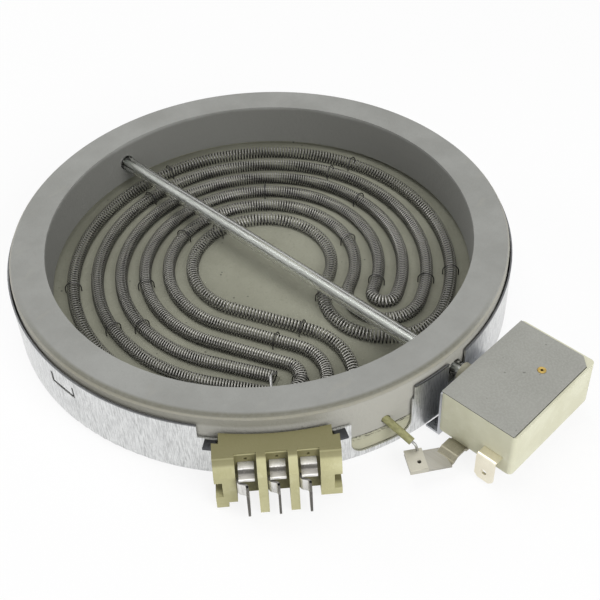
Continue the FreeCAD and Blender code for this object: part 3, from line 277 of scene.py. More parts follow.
@dataclass(frozen=True)
class DrawnSheet:
    """The dish's bright sheet: dense upright draw lines, dust, a painted shadow along its top edge and
    painted shade on its lugs.
    """

    name: str
    bright: Colour
    line: Colour
    painted_shade: Colour
    wall_radius: float
    top_height: float
    roughness: float = 0.33
    metallic: float = 0.92
    drawn: Spot = (0.4, 0.07)
    fine_scale: float = 4000.0
    broad_scale: float = 1500.0
    cloud_scale: float = 55.0
    dust_scale: float = 900.0
    brink_shadow: Spot = (0.0007, 0.0003)
    # painted shade on the lugs that stand out past the wall by these distances
    proud: Spot = (0.0001, 0.0004)
    relief: float = 0.16

    def make(self) -> Material:
        """Builds the material.

        Returns:
            The material.
        """
        tree = Tree(self.name)
        angle, radius, height = tree.around()
        outward, upward = self.drawn
        strokes = tree.node("ShaderNodeCombineXYZ", None, {
            0: angle * self.wall_radius, 1: radius * outward, 2: height * upward}).out(0)
        fine = tree.noise(strokes, self.fine_scale, 2.0, 0.6)
        broad = tree.noise(strokes, self.broad_scale, 3.0, 0.6)
        cloud = tree.noise(tree.place(), self.cloud_scale)
        marks = fine.above(0.38, 0.62) * (0.6 + broad.above(0.35, 0.65) * 0.4)
        dust = tree.noise(tree.place(), self.dust_scale).above(0.5, 0.75)
        colour = tree.mix(marks * (0.5 + cloud.above(0.35, 0.65) * 0.2), self.bright, self.line)
        colour = tree.mix(dust * 0.25, colour, self.line)
        # painted shadow: a dark line along the top edge, for the gap between dish and ring
        brink_shadow = height.above(*(self.top_height - depth for depth in self.brink_shadow))
        colour = tree.mix(brink_shadow * 0.85, colour, self.painted_shade)
        # painted shade: the lugs out past the wall take the dark colour
        colour = tree.mix(radius.above(*(self.wall_radius + gap for gap in self.proud)), colour, self.painted_shade)
        rough = self.roughness + (broad - 0.5) * 0.3 + (cloud - 0.5) * 0.12
        return tree.surface(Base_Color=colour, Metallic=self.metallic, Roughness=rough,
                            Normal=tree.bump(fine * 0.6 + broad * 0.4, self.relief, 0.3 * MM))


@dataclass(frozen=True)
class TinnedPress:
    """Tinned pressing with painted shade and highlight, in the connector's own frame: bright flats and lip, a
    dark step, a dull lower plate, a dark blade, a dark line at the top edge and a bright tip.
    """

    name: str
    bright: Colour
    dull: Colour
    edge: Colour
    turn: float
    root: float = 0.086
    reach: float = 0.014
    grain_scale: float = 1800.0
    bright_to: float = 0.475
    step_shade_share: Spot = (0.49, 0.525)
    dull_share: Spot = (0.54, 0.635)
    flat_share: Spot = (0.65, 0.76)
    blade_shade_from: float = 0.80
    top_shade_from: Spot = (0.01325, 0.01332)
    top_shade_to: Spot = (0.0136, 0.0137)
    tip: Spot = (0.0022, 0.0034)

    def make(self) -> Material:
        """Builds the material.

        Returns:
            The material.
        """
        tree = Tree(self.name)
        out, _, height = tree.turned(self.turn)
        fine = tree.noise(tree.place((1.0, 1.0, 0.2)), self.grain_scale, 2.0)
        share = (out - self.root) / self.reach + (fine - 0.5) * 0.02
        # painted shade and highlight by distance out along the terminal: dark step, dull lower plate, bright
        # lip, dark blade
        bands = (((0.0, self.bright_to), self.bright), (self.step_shade_share, self.edge),
                 (self.dull_share, self.dull), (self.flat_share, self.bright),
                 ((self.blade_shade_from, 1.0), self.edge))
        stops = [(place, colour) for places, colour in bands for place in places]
        colour = tree.node("ShaderNodeValToRGB", {"stops": stops}, {0: share}).out(0)
        # painted shade: a dark line along the wing's and blade's top edge
        cut = height.above(*self.top_shade_from) * (1.0 - height.above(*self.top_shade_to))
        colour = tree.mix(cut * 0.9, colour, self.edge)
        # painted highlight: the blade's tip turns bright
        colour = tree.mix(1.0 - height.above(*self.tip), colour, self.bright)
        colour = tree.mix(fine.above(0.5, 0.8) * 0.3, colour, self.dull)
        return tree.surface(Base_Color=colour, Metallic=0.6, Roughness=0.46 + (fine - 0.5) * 0.2,
                            Normal=tree.bump(fine, 0.08, 0.2 * MM))


@dataclass(frozen=True)
class PressedFibre:
    """Matt insulation: pressed fibre or powder with speckle, pits and soft stains."""

    name: str
    colour: Colour
    pale: Colour
    stain: Colour
    speck: Colour
    side: Colour
    top_height: float
    specks: float = 0.5
    pits: float = 0.5
    cloud_scale: float = 45.0
    grit_scale: float = 900.0
    fibre_scale: float = 1400.0
    cell_scale: float = 340.0
    group_scale: float = 130.0
    stain_scale: float = 24.0
    crumb_scale: float = 700.0
    outside: Spot = (0.0800, 0.0815)
    side_depth: float = 0.0006
    joint: Spot = (0.0022, 0.0004)

    def make(self) -> Material:
        """Builds the material.

        Returns:
            The material.
        """
        tree = Tree(self.name)
        spot = tree.place()
        cloud = tree.noise(spot, self.cloud_scale, 4.0, 0.6)
        grit = tree.noise(spot, self.grit_scale, 3.0, 0.6)
        fibre = tree.noise(tree.place((1.0, 0.22, 1.0), 0.6), self.fibre_scale, 2.0)
        cells = tree.node("ShaderNodeTexVoronoi", None, {"Vector": spot, "Scale": self.cell_scale}).out(0)
        marks = (1.0 - cells.above(0.05, 0.17)) * tree.noise(spot, self.group_scale, 1.0).above(0.52, 0.62)
        colour = tree.mix(cloud.above(0.3, 0.72), self.colour, self.pale)
        colour = tree.mix(tree.noise(spot, self.stain_scale).above(0.52, 0.72) * 0.55, colour, self.stain)
        colour = tree.mix(grit.above(0.56, 0.72) * 0.35, colour, self.stain)
        colour = tree.mix(marks * self.specks, colour, self.speck)
        _, radius, height = tree.around()
        outside = (radius + (cloud - 0.5) * 0.001).above(*self.outside)
        flank = outside * height.above(self.top_height, self.top_height - self.side_depth)
        colour = tree.mix(flank, colour, self.side)
        crumbs = tree.noise(tree.place((1.0, 1.0, 2.0)), self.crumb_scale, 3.0, 0.7).above(0.46, 0.60)
        joint = height.above(*(self.top_height - depth for depth in self.joint))
        colour = tree.mix(outside * joint * crumbs * 0.85, colour, self.speck)
        relief = grit * 0.55 + fibre * 0.3 + cloud * 0.4 - marks * 0.3
        return tree.surface(Base_Color=colour, Roughness=0.93 - grit * 0.06, Specular_IOR_Level=0.2,
                            Normal=tree.bump(relief, 0.35 + 0.3 * self.pits, 0.6 * MM))


@dataclass(frozen=True)
class RingFibre:
    """The ring: grey top, cream side, a painted highlight in cream on the outer top edge, an inner wall
    darkened with painted shade, and a darker olive brim and flank over the front.
    """

    name: str
    top: Colour
    top_dark: Colour
    cream: Colour
    inner: Colour
    side: Colour
    front_olive: Colour
    top_height: float
    outer_radius: float
    front_arc_from: Spot = (-2.1, -1.4)
    front_arc_to: Spot = (-0.05, 0.4)
    flank_to: Spot = (-0.65, -0.48)
    cloud_scale: float = 38.0
    grit_scale: float = 850.0
    scuff_scale: float = 260.0
    wander: float = 0.0022
    below: Spot = (0.0002, 0.0016)
    within: Spot = (0.006, 0.008)
    rim: Spot = (0.0007, 0.0004)
    flank: Spot = (0.0045, 0.0030)
    brim: Spot = (0.0026, 0.0012)
    edge: Spot = (0.0008, 0.0014)

    def make(self) -> Material:
        """Builds the material.

        Returns:
            The material.
        """
        tree = Tree(self.name)
        spot = tree.place()
        angle, radius, height = tree.around()
        cloud = tree.noise(spot, self.cloud_scale, 4.0, 0.62)
        grit = tree.noise(spot, self.grit_scale, 3.0, 0.6)
        scuff = tree.noise(tree.place((1.0, 0.35, 1.0), 0.4), self.scuff_scale)
        wander = (cloud - 0.5) * self.wander

        def deep(value: Socket, depths: Spot) -> Socket:
            """A step between two depths under the ring's top."""
            return value.above(*(self.top_height - depth for depth in depths))

        def inward(value: Socket, depths: Spot) -> Socket:
            """A step between two depths inside the ring's outer edge."""
            return value.above(*(self.outer_radius - depth for depth in depths))

        colour = tree.mix(cloud.above(0.3, 0.75), self.top_dark, self.top)
        colour = tree.mix(grit.above(0.55, 0.75) * 0.3, colour, self.top_dark)
        colour = tree.mix(scuff.above(0.6, 0.8) * 0.1, colour, self.cream)
        below = deep(height + wander, self.below)
        within = inward(radius + wander, self.within)
        # painted shade: the inner wall takes a darker copy of the ring's grey
        colour = tree.mix(below * within, colour, self.inner)
        colour = tree.mix(below * (1.0 - within), colour, self.side)
        # a darker olive band on the outer brim and upper flank over the front of the ring
        front_arc = (angle + (cloud - 0.5) * 0.5).above(*self.front_arc_from)
        front_arc = front_arc * (1.0 - angle.above(*self.front_arc_to))
        flank = below * (1.0 - within) * deep(height, self.flank)
        toward = front_arc * (1.0 - angle.above(*self.flank_to))
        colour = tree.mix(toward * flank * (0.25 + cloud * 0.5), colour, self.front_olive)
        brim = inward(radius, self.brim) * (1.0 - below)
        colour = tree.mix(brim * front_arc * (0.55 + grit * 0.5), colour, self.front_olive)
        # painted highlight: a broken cream line along the outer top edge
        rim = inward(radius + wander * 0.12, self.rim)
        edge = rim * (1.0 - deep(height + wander, self.edge))
        colour = tree.mix(edge * (0.1 + grit * 0.45), colour, self.cream)
        relief = grit * 0.6 + cloud * 0.7 + scuff * 0.3
        return tree.surface(Base_Color=colour, Roughness=0.95 - grit * 0.06, Specular_IOR_Level=0.2,
                            Normal=tree.bump(relief, 0.55, 0.6 * MM))


@dataclass(frozen=True)
class Ceramic:
    """What the unglazed ceramics share: fine grain, soft stains and rubbed patches."""

    name: str
    colour: Colour
    stain: Colour
    pale: Colour

    def body(self, tree: Tree) -> tuple[Socket, Socket, Socket]:
        """The plain body of a moulded piece.

        Args:
            tree: the material's nodes.

        Returns:
            Colour, stain cloud and grain.
        """
        spot = tree.place()
        cloud = tree.noise(spot, 110.0, 4.0, 0.6)
        grain = tree.noise(spot, 1500.0, 2.0)
        colour = tree.mix(cloud.above(0.34, 0.7), self.stain, self.colour)
        colour = tree.mix(tree.noise(spot, 320.0).above(0.58, 0.72) * 0.4, colour, self.pale)
        return tree.mix(grain.above(0.62, 0.78) * 0.22, colour, self.stain), cloud, grain

    @staticmethod
    def fired(tree: Tree, colour: Socket, cloud: Socket, grain: Socket, rough: float) -> Material:
        """Ends a ceramic's tree with the grain in its gloss and relief."""
        return tree.surface(Base_Color=colour, Roughness=rough + (grain - 0.5) * 0.12,
                            Normal=tree.bump(grain + cloud * 0.5, 0.3, 0.3 * MM))


@dataclass(frozen=True)
class Moulded(Ceramic):
    """Moulded ceramic, with painted shade on its neck where it has one."""

    roughness: float = 0.62
    neck_shade: float = 0.0
    neck_shade_colour: Colour = (0.14, 0.128, 0.09)
    neck: Spot = (0.0881, 0.0872)

    def make(self) -> Material:
        """Builds the material.

        Returns:
            The material.
        """
        tree = Tree(self.name)
        colour, cloud, grain = self.body(tree)
        if self.neck_shade:
            # painted shade: the housing's neck is darkened
            neck = tree.axes()[0].above(*self.neck)
            colour = tree.mix(neck * (self.neck_shade + cloud * 0.2), colour, self.neck_shade_colour)
        return self.fired(tree, colour, cloud, grain, self.roughness)


@dataclass(frozen=True)
class EdgedPlate(Ceramic):
    """Speckled ceramic plate with dark specks and a dark edge of painted shade."""

    edge: Colour
    top_height: float
    roughness: float = 0.55
    side_shade_depth: Spot = (0.00002, 0.00008)

    def make(self) -> Material:
        """Builds the material.

        Returns:
            The material.
        """
        tree = Tree(self.name)
        spot = tree.place()
        cloud = tree.noise(spot, 90.0, 4.0, 0.6)
        grain = tree.noise(spot, 1500.0, 2.0)
        speck = tree.noise(spot, 520.0, 1.0).above(0.74, 0.78)
        colour = tree.mix(cloud.above(0.3, 0.7), self.stain, self.colour)
        colour = tree.mix(grain.above(0.42, 0.62) * 0.5, colour, self.pale)
        colour = tree.mix(grain.above(0.60, 0.40) * 0.3, colour, self.stain)
        # painted shade: the plate's sides below its top are dark, for the shadow in the gap round it
        low = tree.axes()[2].above(*(self.top_height - depth for depth in self.side_shade_depth))
        colour = tree.mix(low.most(speck * 0.6), colour, self.edge)
        return self.fired(tree, colour, cloud, grain, self.roughness)


@dataclass(frozen=True)
class DarkenedCeramic(Ceramic):
    """Moulded ceramic, darker brown on its uppermost face and stained on its cheeks, with painted shade over
    the brown in its bays and on its left side.
    """

    brown: Colour
    brown_height: float
    turn: float
    bay_stain_and_shade: Spot = (0.0925, 0.0902)
    bay_top: Spot = (0.019, 0.0193)
    # painted shade across the block's left side
    left: Spot = (-0.004, -0.016)
    cheek: Spot = (0.0116, 0.0121)
    brow: Spot = (0.0168, 0.0178)
    roughness: float = 0.62

    def make(self) -> Material:
        """Builds the material.

        Returns:
            The material.
        """
        tree = Tree(self.name)
        colour, cloud, grain = self.body(tree)
        out, across, height = tree.turned(self.turn)
        # painted shade in the bays, over their brown stain
        bay_stain_and_shade = out.above(*self.bay_stain_and_shade) * (1.0 - height.above(*self.bay_top))
        colour = tree.mix(bay_stain_and_shade * 0.95, colour, self.brown)
        # painted shade: the left side of the block is darkened
        colour = tree.mix(across.above(*self.left) * 0.2, colour, self.brown)
        drift = height + (cloud - 0.5) * 0.0004
        cheek = tree.math("ABSOLUTE", across).above(*self.cheek) * drift.above(*self.brow) * 0.6
        # darker brown on the uppermost face, and stains on the upper cheeks
        browned = drift.above(self.brown_height, self.brown_height + 0.5 * MM).most(cheek)
        colour = tree.mix(browned * 0.9, colour, self.brown)
        return self.fired(tree, colour, cloud, grain, self.roughness)


@dataclass(frozen=True)
class WireMetal:
    """Drawn wire: bare or oxidised, with uneven dark scale."""

    name: str
    colour: Colour
    dark: Colour
    roughness: float = 0.36
    metallic: float = 0.9
    scaling: float = 0.12
    flake_scale: float = 700.0
    cloud_scale: float = 60.0

    def make(self) -> Material:
        """Builds the material.

        Returns:
            The material.
        """
        tree = Tree(self.name)
        spot = tree.place()
        flakes = tree.noise(spot, self.flake_scale, 3.0, 0.6)
        cloud = tree.noise(spot, self.cloud_scale, 2.0)
        colour = tree.mix((flakes * 0.6 + cloud * 0.4).above(0.36, 0.66), self.dark, self.colour)
        return tree.surface(Base_Color=colour, Metallic=self.metallic,
                            Roughness=self.roughness + (flakes - 0.5) * (2.0 * self.scaling),
                            Normal=tree.bump(flakes, self.scaling, 0.2 * MM))


@dataclass(frozen=True)
class WindingWire:
    """Resistance wire: bright where it stands clear of the base, with painted shade darkening it low down
    where it lies in the base and on the winding's far side.
    """

    name: str
    bright: Colour
    dark: Colour
    # heights in metres below which painted shade turns the wire dark
    clear: Spot
    # painted shade on the winding's far side, across this direction and between these distances
    shade_turn: float = 45.0
    shade: Spot = (0.010, 0.050)
    roughness: float = 0.36
    metallic: float = 0.85
    flake_scale: float = 500.0
    cloud_scale: float = 40.0

    def make(self) -> Material:
        """Builds the material.

        Returns:
            The material.
        """
        tree = Tree(self.name)
        spot = tree.place()
        flakes = tree.noise(spot, self.flake_scale, 3.0, 0.6)
        cloud = tree.noise(spot, self.cloud_scale, 2.0)
        # painted shade: the wire goes dark low down, where it lies in the base's shade
        clear = (tree.axes()[2] + (flakes - 0.5) * 0.0006).above(*self.clear)
        tone = clear * (0.64 + (cloud - 0.5) * 0.5 + (flakes - 0.5) * 0.3)
        colour = tree.mix(tone, self.dark, self.bright)
        # painted shade: the winding's far side is darkened
        _, far, _ = tree.turned(self.shade_turn)
        colour = tree.mix(far.above(*self.shade) * 0.4, colour, self.dark)
        return tree.surface(Base_Color=colour, Metallic=self.metallic,
                            Roughness=self.roughness + (flakes - 0.5) * 0.2,
                            Normal=tree.bump(flakes, 0.08, 0.1 * MM))


@dataclass(frozen=True)
class ClearTube:
    """Fused quartz, clear with faint drawn lines."""

    name: str
    tint: Colour
    refraction: float = 1.46
    line_scale: float = 900.0

    def make(self) -> Material:
        """Builds the material.

        Returns:
            The material.
        """
        tree = Tree(self.name)
        drawn = tree.noise(tree.place((0.02, 1.0, 1.0)), self.line_scale, 2.0)
        return tree.surface(Base_Color=self.tint, Transmission_Weight=1.0, IOR=self.refraction,
                            Roughness=drawn.above(0.6, 0.9) * 0.02)


@dataclass(frozen=True)
class WovenSleeve:
    """Braided glass-fibre sleeving."""

    name: str
    colour: Colour
    dark: Colour
    weave_scale: float = 1300.0
    cloud_scale: float = 180.0

    def make(self) -> Material:
        """Builds the material.

        Returns:
            The material.
        """
        tree = Tree(self.name)
        weave = tree.noise(tree.place((0.5, 1.0, 1.0)), self.weave_scale, 2.0)
        cloud = tree.noise(tree.place(), self.cloud_scale, 2.0)
        colour = tree.mix((weave * 0.7 + cloud * 0.3).above(0.35, 0.62), self.dark, self.colour)
        return tree.surface(Base_Color=colour, Roughness=0.85, Normal=tree.bump(weave, 0.5, 0.4 * MM))


@dataclass(frozen=True)
class Finishes:
    """Every finish of the heater, with places in metres."""

    # the dish's third colour is painted shade, for its top edge and its lugs
    dish: DrawnSheet = DrawnSheet("dish_sheet", (0.76, 0.768, 0.765), (0.30, 0.305, 0.305),
                                  (0.07, 0.072, 0.078), wall_radius=0.0836, top_height=0.0218)
    base: PressedFibre = PressedFibre("base_powder", (0.255, 0.255, 0.200), (0.306, 0.306, 0.243),
                                      (0.209, 0.208, 0.160), (0.050, 0.048, 0.042),
                                      (0.44, 0.432, 0.325), top_height=0.0094, specks=0.7)
    # the ring's inner colour is painted shade, and its cream paints a highlight on the outer top edge
    ring: RingFibre = RingFibre("ring_fibre", (0.340, 0.343, 0.326), (0.280, 0.282, 0.265),
                                (0.46, 0.435, 0.35), (0.196, 0.197, 0.182), (0.400, 0.393, 0.355),
                                (0.165, 0.160, 0.122), top_height=0.025, outer_radius=0.0825)
    # the winding's near-black colour is painted shade, low in the base and on the far side
    winding: WindingWire = WindingWire("winding_wire", (0.46, 0.45, 0.42), (0.016, 0.015, 0.014),
                                       clear=(0.0080, 0.0108))
    staple: WireMetal = WireMetal("staple_wire", (0.10, 0.097, 0.093), (0.04, 0.04, 0.038), 0.55)
    lead: WireMetal = WireMetal("lead_wire", (0.50, 0.50, 0.49), (0.27, 0.27, 0.265), 0.38)
    sleeve: WovenSleeve = WovenSleeve("sleeve_braid", (0.315, 0.308, 0.150), (0.235, 0.228, 0.108))
    block: DarkenedCeramic = DarkenedCeramic("block_ceramic", (0.535, 0.512, 0.295), (0.455, 0.432, 0.235),
                             (0.590, 0.570, 0.360), (0.150, 0.136, 0.054), brown_height=0.0193,
                             turn=BLOCK_TURN)
    # the terminal's dull and dark colours are painted shade, and the dull also flecks the grain
    terminal: TinnedPress = TinnedPress("terminal_tin", (0.78, 0.77, 0.745), (0.34, 0.325, 0.30),
                                        (0.10, 0.095, 0.085), turn=BLOCK_TURN)
    quartz: ClearTube = ClearTube("quartz_tube", (0.99, 1.0, 0.99))
    rod: SheetMetal = SheetMetal("rod_steel", (0.50, 0.51, 0.48), (0.36, 0.37, 0.34),
                                 Grain.ROLLED_FLAT, roughness=0.38, metallic=0.5)
    pin: Moulded = Moulded("pin_ceramic", (0.82, 0.80, 0.74), (0.74, 0.71, 0.64), (0.88, 0.86, 0.8))
    housing: Moulded = Moulded("housing_ceramic", (0.655, 0.650, 0.500), (0.600, 0.590, 0.440),
                               (0.710, 0.705, 0.570), roughness=0.58, neck_shade=0.6)
    cover: EdgedPlate = EdgedPlate("cover_plate", (0.305, 0.306, 0.278), (0.272, 0.273, 0.246),
                                   (0.338, 0.339, 0.312), (0.055, 0.054, 0.046), top_height=0.0213)
    eyelet: WireMetal = WireMetal("eyelet_brass", (0.62, 0.44, 0.13), (0.38, 0.26, 0.08), 0.34)
    bracket: SheetMetal = SheetMetal("bracket_steel", (0.62, 0.63, 0.65), (0.36, 0.37, 0.39),
                                     Grain.ROLLED_UPRIGHT, roughness=0.3)
    tab: SheetMetal = SheetMetal("tab_brass", (0.92, 0.875, 0.735), (0.74, 0.69, 0.55), lines=0.25)
    strap: SheetMetal = SheetMetal("strap_steel", (0.45, 0.438, 0.395), (0.32, 0.305, 0.265),
                                   Grain.ROLLED_FLAT, roughness=0.42, lines=0.35, metallic=0.85)
    # painted shade: a darker, tan copy of the strap steel for the joggle's bends
    joggle: SheetMetal = SheetMetal("strap_joggle", (0.40, 0.375, 0.285), (0.22, 0.205, 0.15),
                                    Grain.ROLLED_UPRIGHT, roughness=0.45, lines=0.4, metallic=0.8)
    clip: SheetMetal = SheetMetal("clip_tin", (0.56, 0.54, 0.46), (0.44, 0.42, 0.35),
                                  roughness=0.5, metallic=0.6)
    contact: SheetMetal = SheetMetal("contact_metal", (0.70, 0.58, 0.36), (0.50, 0.40, 0.24),
                                     Grain.ROLLED_FLAT, roughness=0.35, lines=0.2)
    silver: SheetMetal = SheetMetal("contact_silver", (0.86, 0.86, 0.85), (0.66, 0.66, 0.65),
                                    roughness=0.25, lines=0.2)


def rounded(corners: Sequence[Spot], radius: float, steps: int = 6) -> list[Spot]:
    """An open line with its inner corners rounded, all in millimetres.

    Args:
        corners: the line's points.
        radius: radius of the corners.
        steps: pieces of each arc.

    Returns:
        The rounded line's points.
    """
    line = [Vector(corner) for corner in corners]
    out = [line[0]]
    for before, here, after in zip(line, line[1:], line[2:]):
        come, leave = (before - here).normalized(), (after - here).normalized()
        half = come.angle(leave) / 2
        reach = min(radius / math.tan(half), (before - here).length / 2, (after - here).length / 2)
        first, last = here + come * reach, here + leave * reach
        for index in range(steps + 1):
            share = index / steps
            out.append(first.lerp(here, share).lerp(here.lerp(last, share), share))
    return [(spot.x, spot.y) for spot in (*out, line[-1])]


def around_hole(middle: Spot, radius: float, count: int) -> list[Spot]:
    """Points round a hole, all in millimetres."""
    turns = [2 * math.pi * index / count for index in range(count)]
    return [(middle[0] + radius * math.cos(turn), middle[1] + radius * math.sin(turn)) for turn in turns]


class Bench:
    """The operators that every piece is modelled with."""

    @staticmethod
    def clear() -> None:
        """Leaves edit mode and deselects everything."""
        if bpy.context.object and bpy.context.object.mode != "OBJECT":
            bpy.ops.object.mode_set(mode="OBJECT")
        bpy.ops.object.select_all(action="DESELECT")

    @staticmethod
    def take(obj: Piece) -> None:
        """Selects one object alone and makes it active.

        Args:
            obj: the object.
        """
        Bench.clear()
        obj.select_set(True)
        bpy.context.view_layer.objects.active = obj

    @staticmethod
    def settle(obj: Piece) -> None:
        """Puts an object's place, turn and scale into its mesh."""
        Bench.take(obj)
        bpy.ops.object.transform_apply(location=True, rotation=True, scale=True)

    @staticmethod
    def apply(obj: Piece, kind: str, **settings: Any) -> None:
        """Adds a modifier and applies it.

        Args:
            obj: the piece.
            kind: the modifier's type.
            settings: its settings.
        """
        Bench.take(obj)
        modifier = obj.modifiers.new(kind.lower(), kind)
        for key, value in settings.items():
            setattr(modifier, key, value)
        bpy.ops.object.modifier_apply(modifier=modifier.name)

    @staticmethod
    def bevel(obj: Piece, width: float, degrees: float) -> None:
        """Rounds the edges that turn by more than an angle, by a width in millimetres."""
        Bench.apply(obj, "BEVEL", width=width * MM, segments=2, limit_method="ANGLE",
                    angle_limit=math.radians(degrees))

    @staticmethod
    def line(name: str, loops: Sequence[Sequence[Spot]], closed: bool) -> Piece:
        """Makes a flat curve in the XY plane.

        Args:
            name: its name.
            loops: its lines, as points in metres.
            closed: whether the lines are closed.

        Returns:
            The curve object.
        """
        data = bpy.data.curves.new(name, "CURVE")
        data.dimensions = "2D"
        for loop in loops:
            spline = data.splines.new("POLY")
            spline.points.add(len(loop) - 1)
            for point, (x, y) in zip(spline.points, loop):
                point.co = (x, y, 0.0, 1.0)
            spline.use_cyclic_u = closed
        obj = bpy.data.objects.new(name, data)
        bpy.context.scene.collection.objects.link(obj)
        return obj

    @staticmethod
    def sheet(loops: Sequence[Sequence[Spot]], depth: float, closed: bool = True) -> Piece:
        """Makes a plate from closed outlines, or a band from an open line, about the XY plane.

        Args:
            loops: outlines, the first round the outside, as points in millimetres.
            depth: size along Z in millimetres.
            closed: whether the outlines are closed and filled.

        Returns:
            The mesh object.
        """
        obj = Bench.line("sheet", [[(x * MM, y * MM) for x, y in loop] for loop in loops], closed)
        obj.data.fill_mode = "BOTH" if closed else "NONE"
        obj.data.extrude = depth * MM / 2
        Bench.take(obj)
        bpy.ops.object.convert(target="MESH")
        return bpy.context.object

    @staticmethod
    def ribbon(line: Sequence[Spot], width: float, gauge: float) -> Piece:
        """Makes a bent strip along a line, all in millimetres.

        Args:
            line: the strip's middle line.
            width: its size along Z.
            gauge: its thickness.

        Returns:
            The mesh object.
        """
        strip = Bench.sheet([line], width, False)
        Bench.apply(strip, "SOLIDIFY", thickness=gauge * MM, offset=0.0)
        return strip

    @staticmethod
    def put(obj: Piece, spot: Point = (0.0, 0.0, 0.0), tilt: float = 0.0, turn: float = 0.0) -> Piece:
        """Tilts an object about X, turns it about Z, moves it and settles it.

        Args:
            obj: the piece.
            spot: its move in millimetres.
            tilt: degrees about X.
            turn: degrees about Z, after the tilt.

        Returns:
            The piece.
        """
        obj.rotation_euler = (math.radians(tilt), 0.0, math.radians(turn))
        obj.location = [along * MM for along in spot]
        Bench.settle(obj)
        return obj

    @staticmethod
    def join(parts: Sequence[Piece]) -> Piece:
        """Joins meshes.

        Args:
            parts: the meshes.

        Returns:
            The first of them, with the rest in it.
        """
        Bench.take(parts[0])
        for part in parts:
            part.select_set(True)
        bpy.ops.object.join()
        return parts[0]

    @staticmethod
    def finish(obj: Piece, name: str, angle: float) -> None:
        """Names a piece, turns its faces outwards and smooths it.

        Args:
            obj: the piece.
            name: its name.
            angle: edges sharper than this stay sharp, in degrees.
        """
        obj.name = name
        obj.data.name = name
        Bench.take(obj)
        bpy.ops.object.mode_set(mode="EDIT")
        bpy.ops.mesh.select_all(action="SELECT")
        bpy.ops.mesh.remove_doubles(threshold=1e-7)
        bpy.ops.mesh.normals_make_consistent(inside=False)
        bpy.ops.object.mode_set(mode="OBJECT")
        bpy.ops.object.shade_smooth_by_angle(angle=math.radians(angle))
        Bench.clear()


class Palette:
    """Makes each finish once and puts it on nodes and pieces."""

    def __init__(self, finishes: Finishes) -> None:
        """Keeps the finishes to make."""
        self.finishes = finishes
        self.made: dict[str, Material] = {}

    def coat(self, obj: Piece, key: str) -> None:
        """Puts a finish on an object, and makes it first if it is new.

        Args:
            obj: a CAD node or a new piece.
            key: the finish's field name.
        """
        if key not in self.made:
            self.made[key] = getattr(self.finishes, key).make()
        obj.data.materials.clear()
        obj.data.materials.append(self.made[key])

    def coat_nodes(self, key: str, *names: str) -> None:
        """Puts a finish on CAD nodes.

        Args:
            key: the finish's field name.
            names: the nodes.
        """
        for name in names:
            self.coat(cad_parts[name], key)
            log.info("node %s: %s", name, key)

    def enter(self, form: Piece, name: str, slot: str, key: str, *nodes: str,
              body: str = ROOT_BODY, angle: float = 40.0) -> None:
        """Finishes a new piece, sets its body and puts it in the place of CAD nodes.

        Args:
            form: the piece.
            name: its name.
            slot: the record's material slot, not used here.
            key: its finish's field name.
            nodes: the CAD nodes that it takes the place of.
            body: the body that it rides.
            angle: edges sharper than this stay sharp, in degrees.
        """
        Bench.finish(form, name, angle)
        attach(form, body)
        if nodes:
            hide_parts(*nodes)
        self.coat(form, key)
        log.info("piece %s on %s: %s", name, body, key)


@dataclass
class Assembly:
    """A sub-assembly: the finishes of its CAD nodes, and the pieces that it adds."""

    palette: Palette
    coats: Coats = ()

    def dress(self) -> None:
        """Puts the finishes on the CAD nodes and adds the new pieces."""
        for key, *names in self.coats:
            self.palette.coat_nodes(key, *names)
        self.build()

    def build(self) -> None:
        """Adds no pieces, unless a sub-assembly has some."""


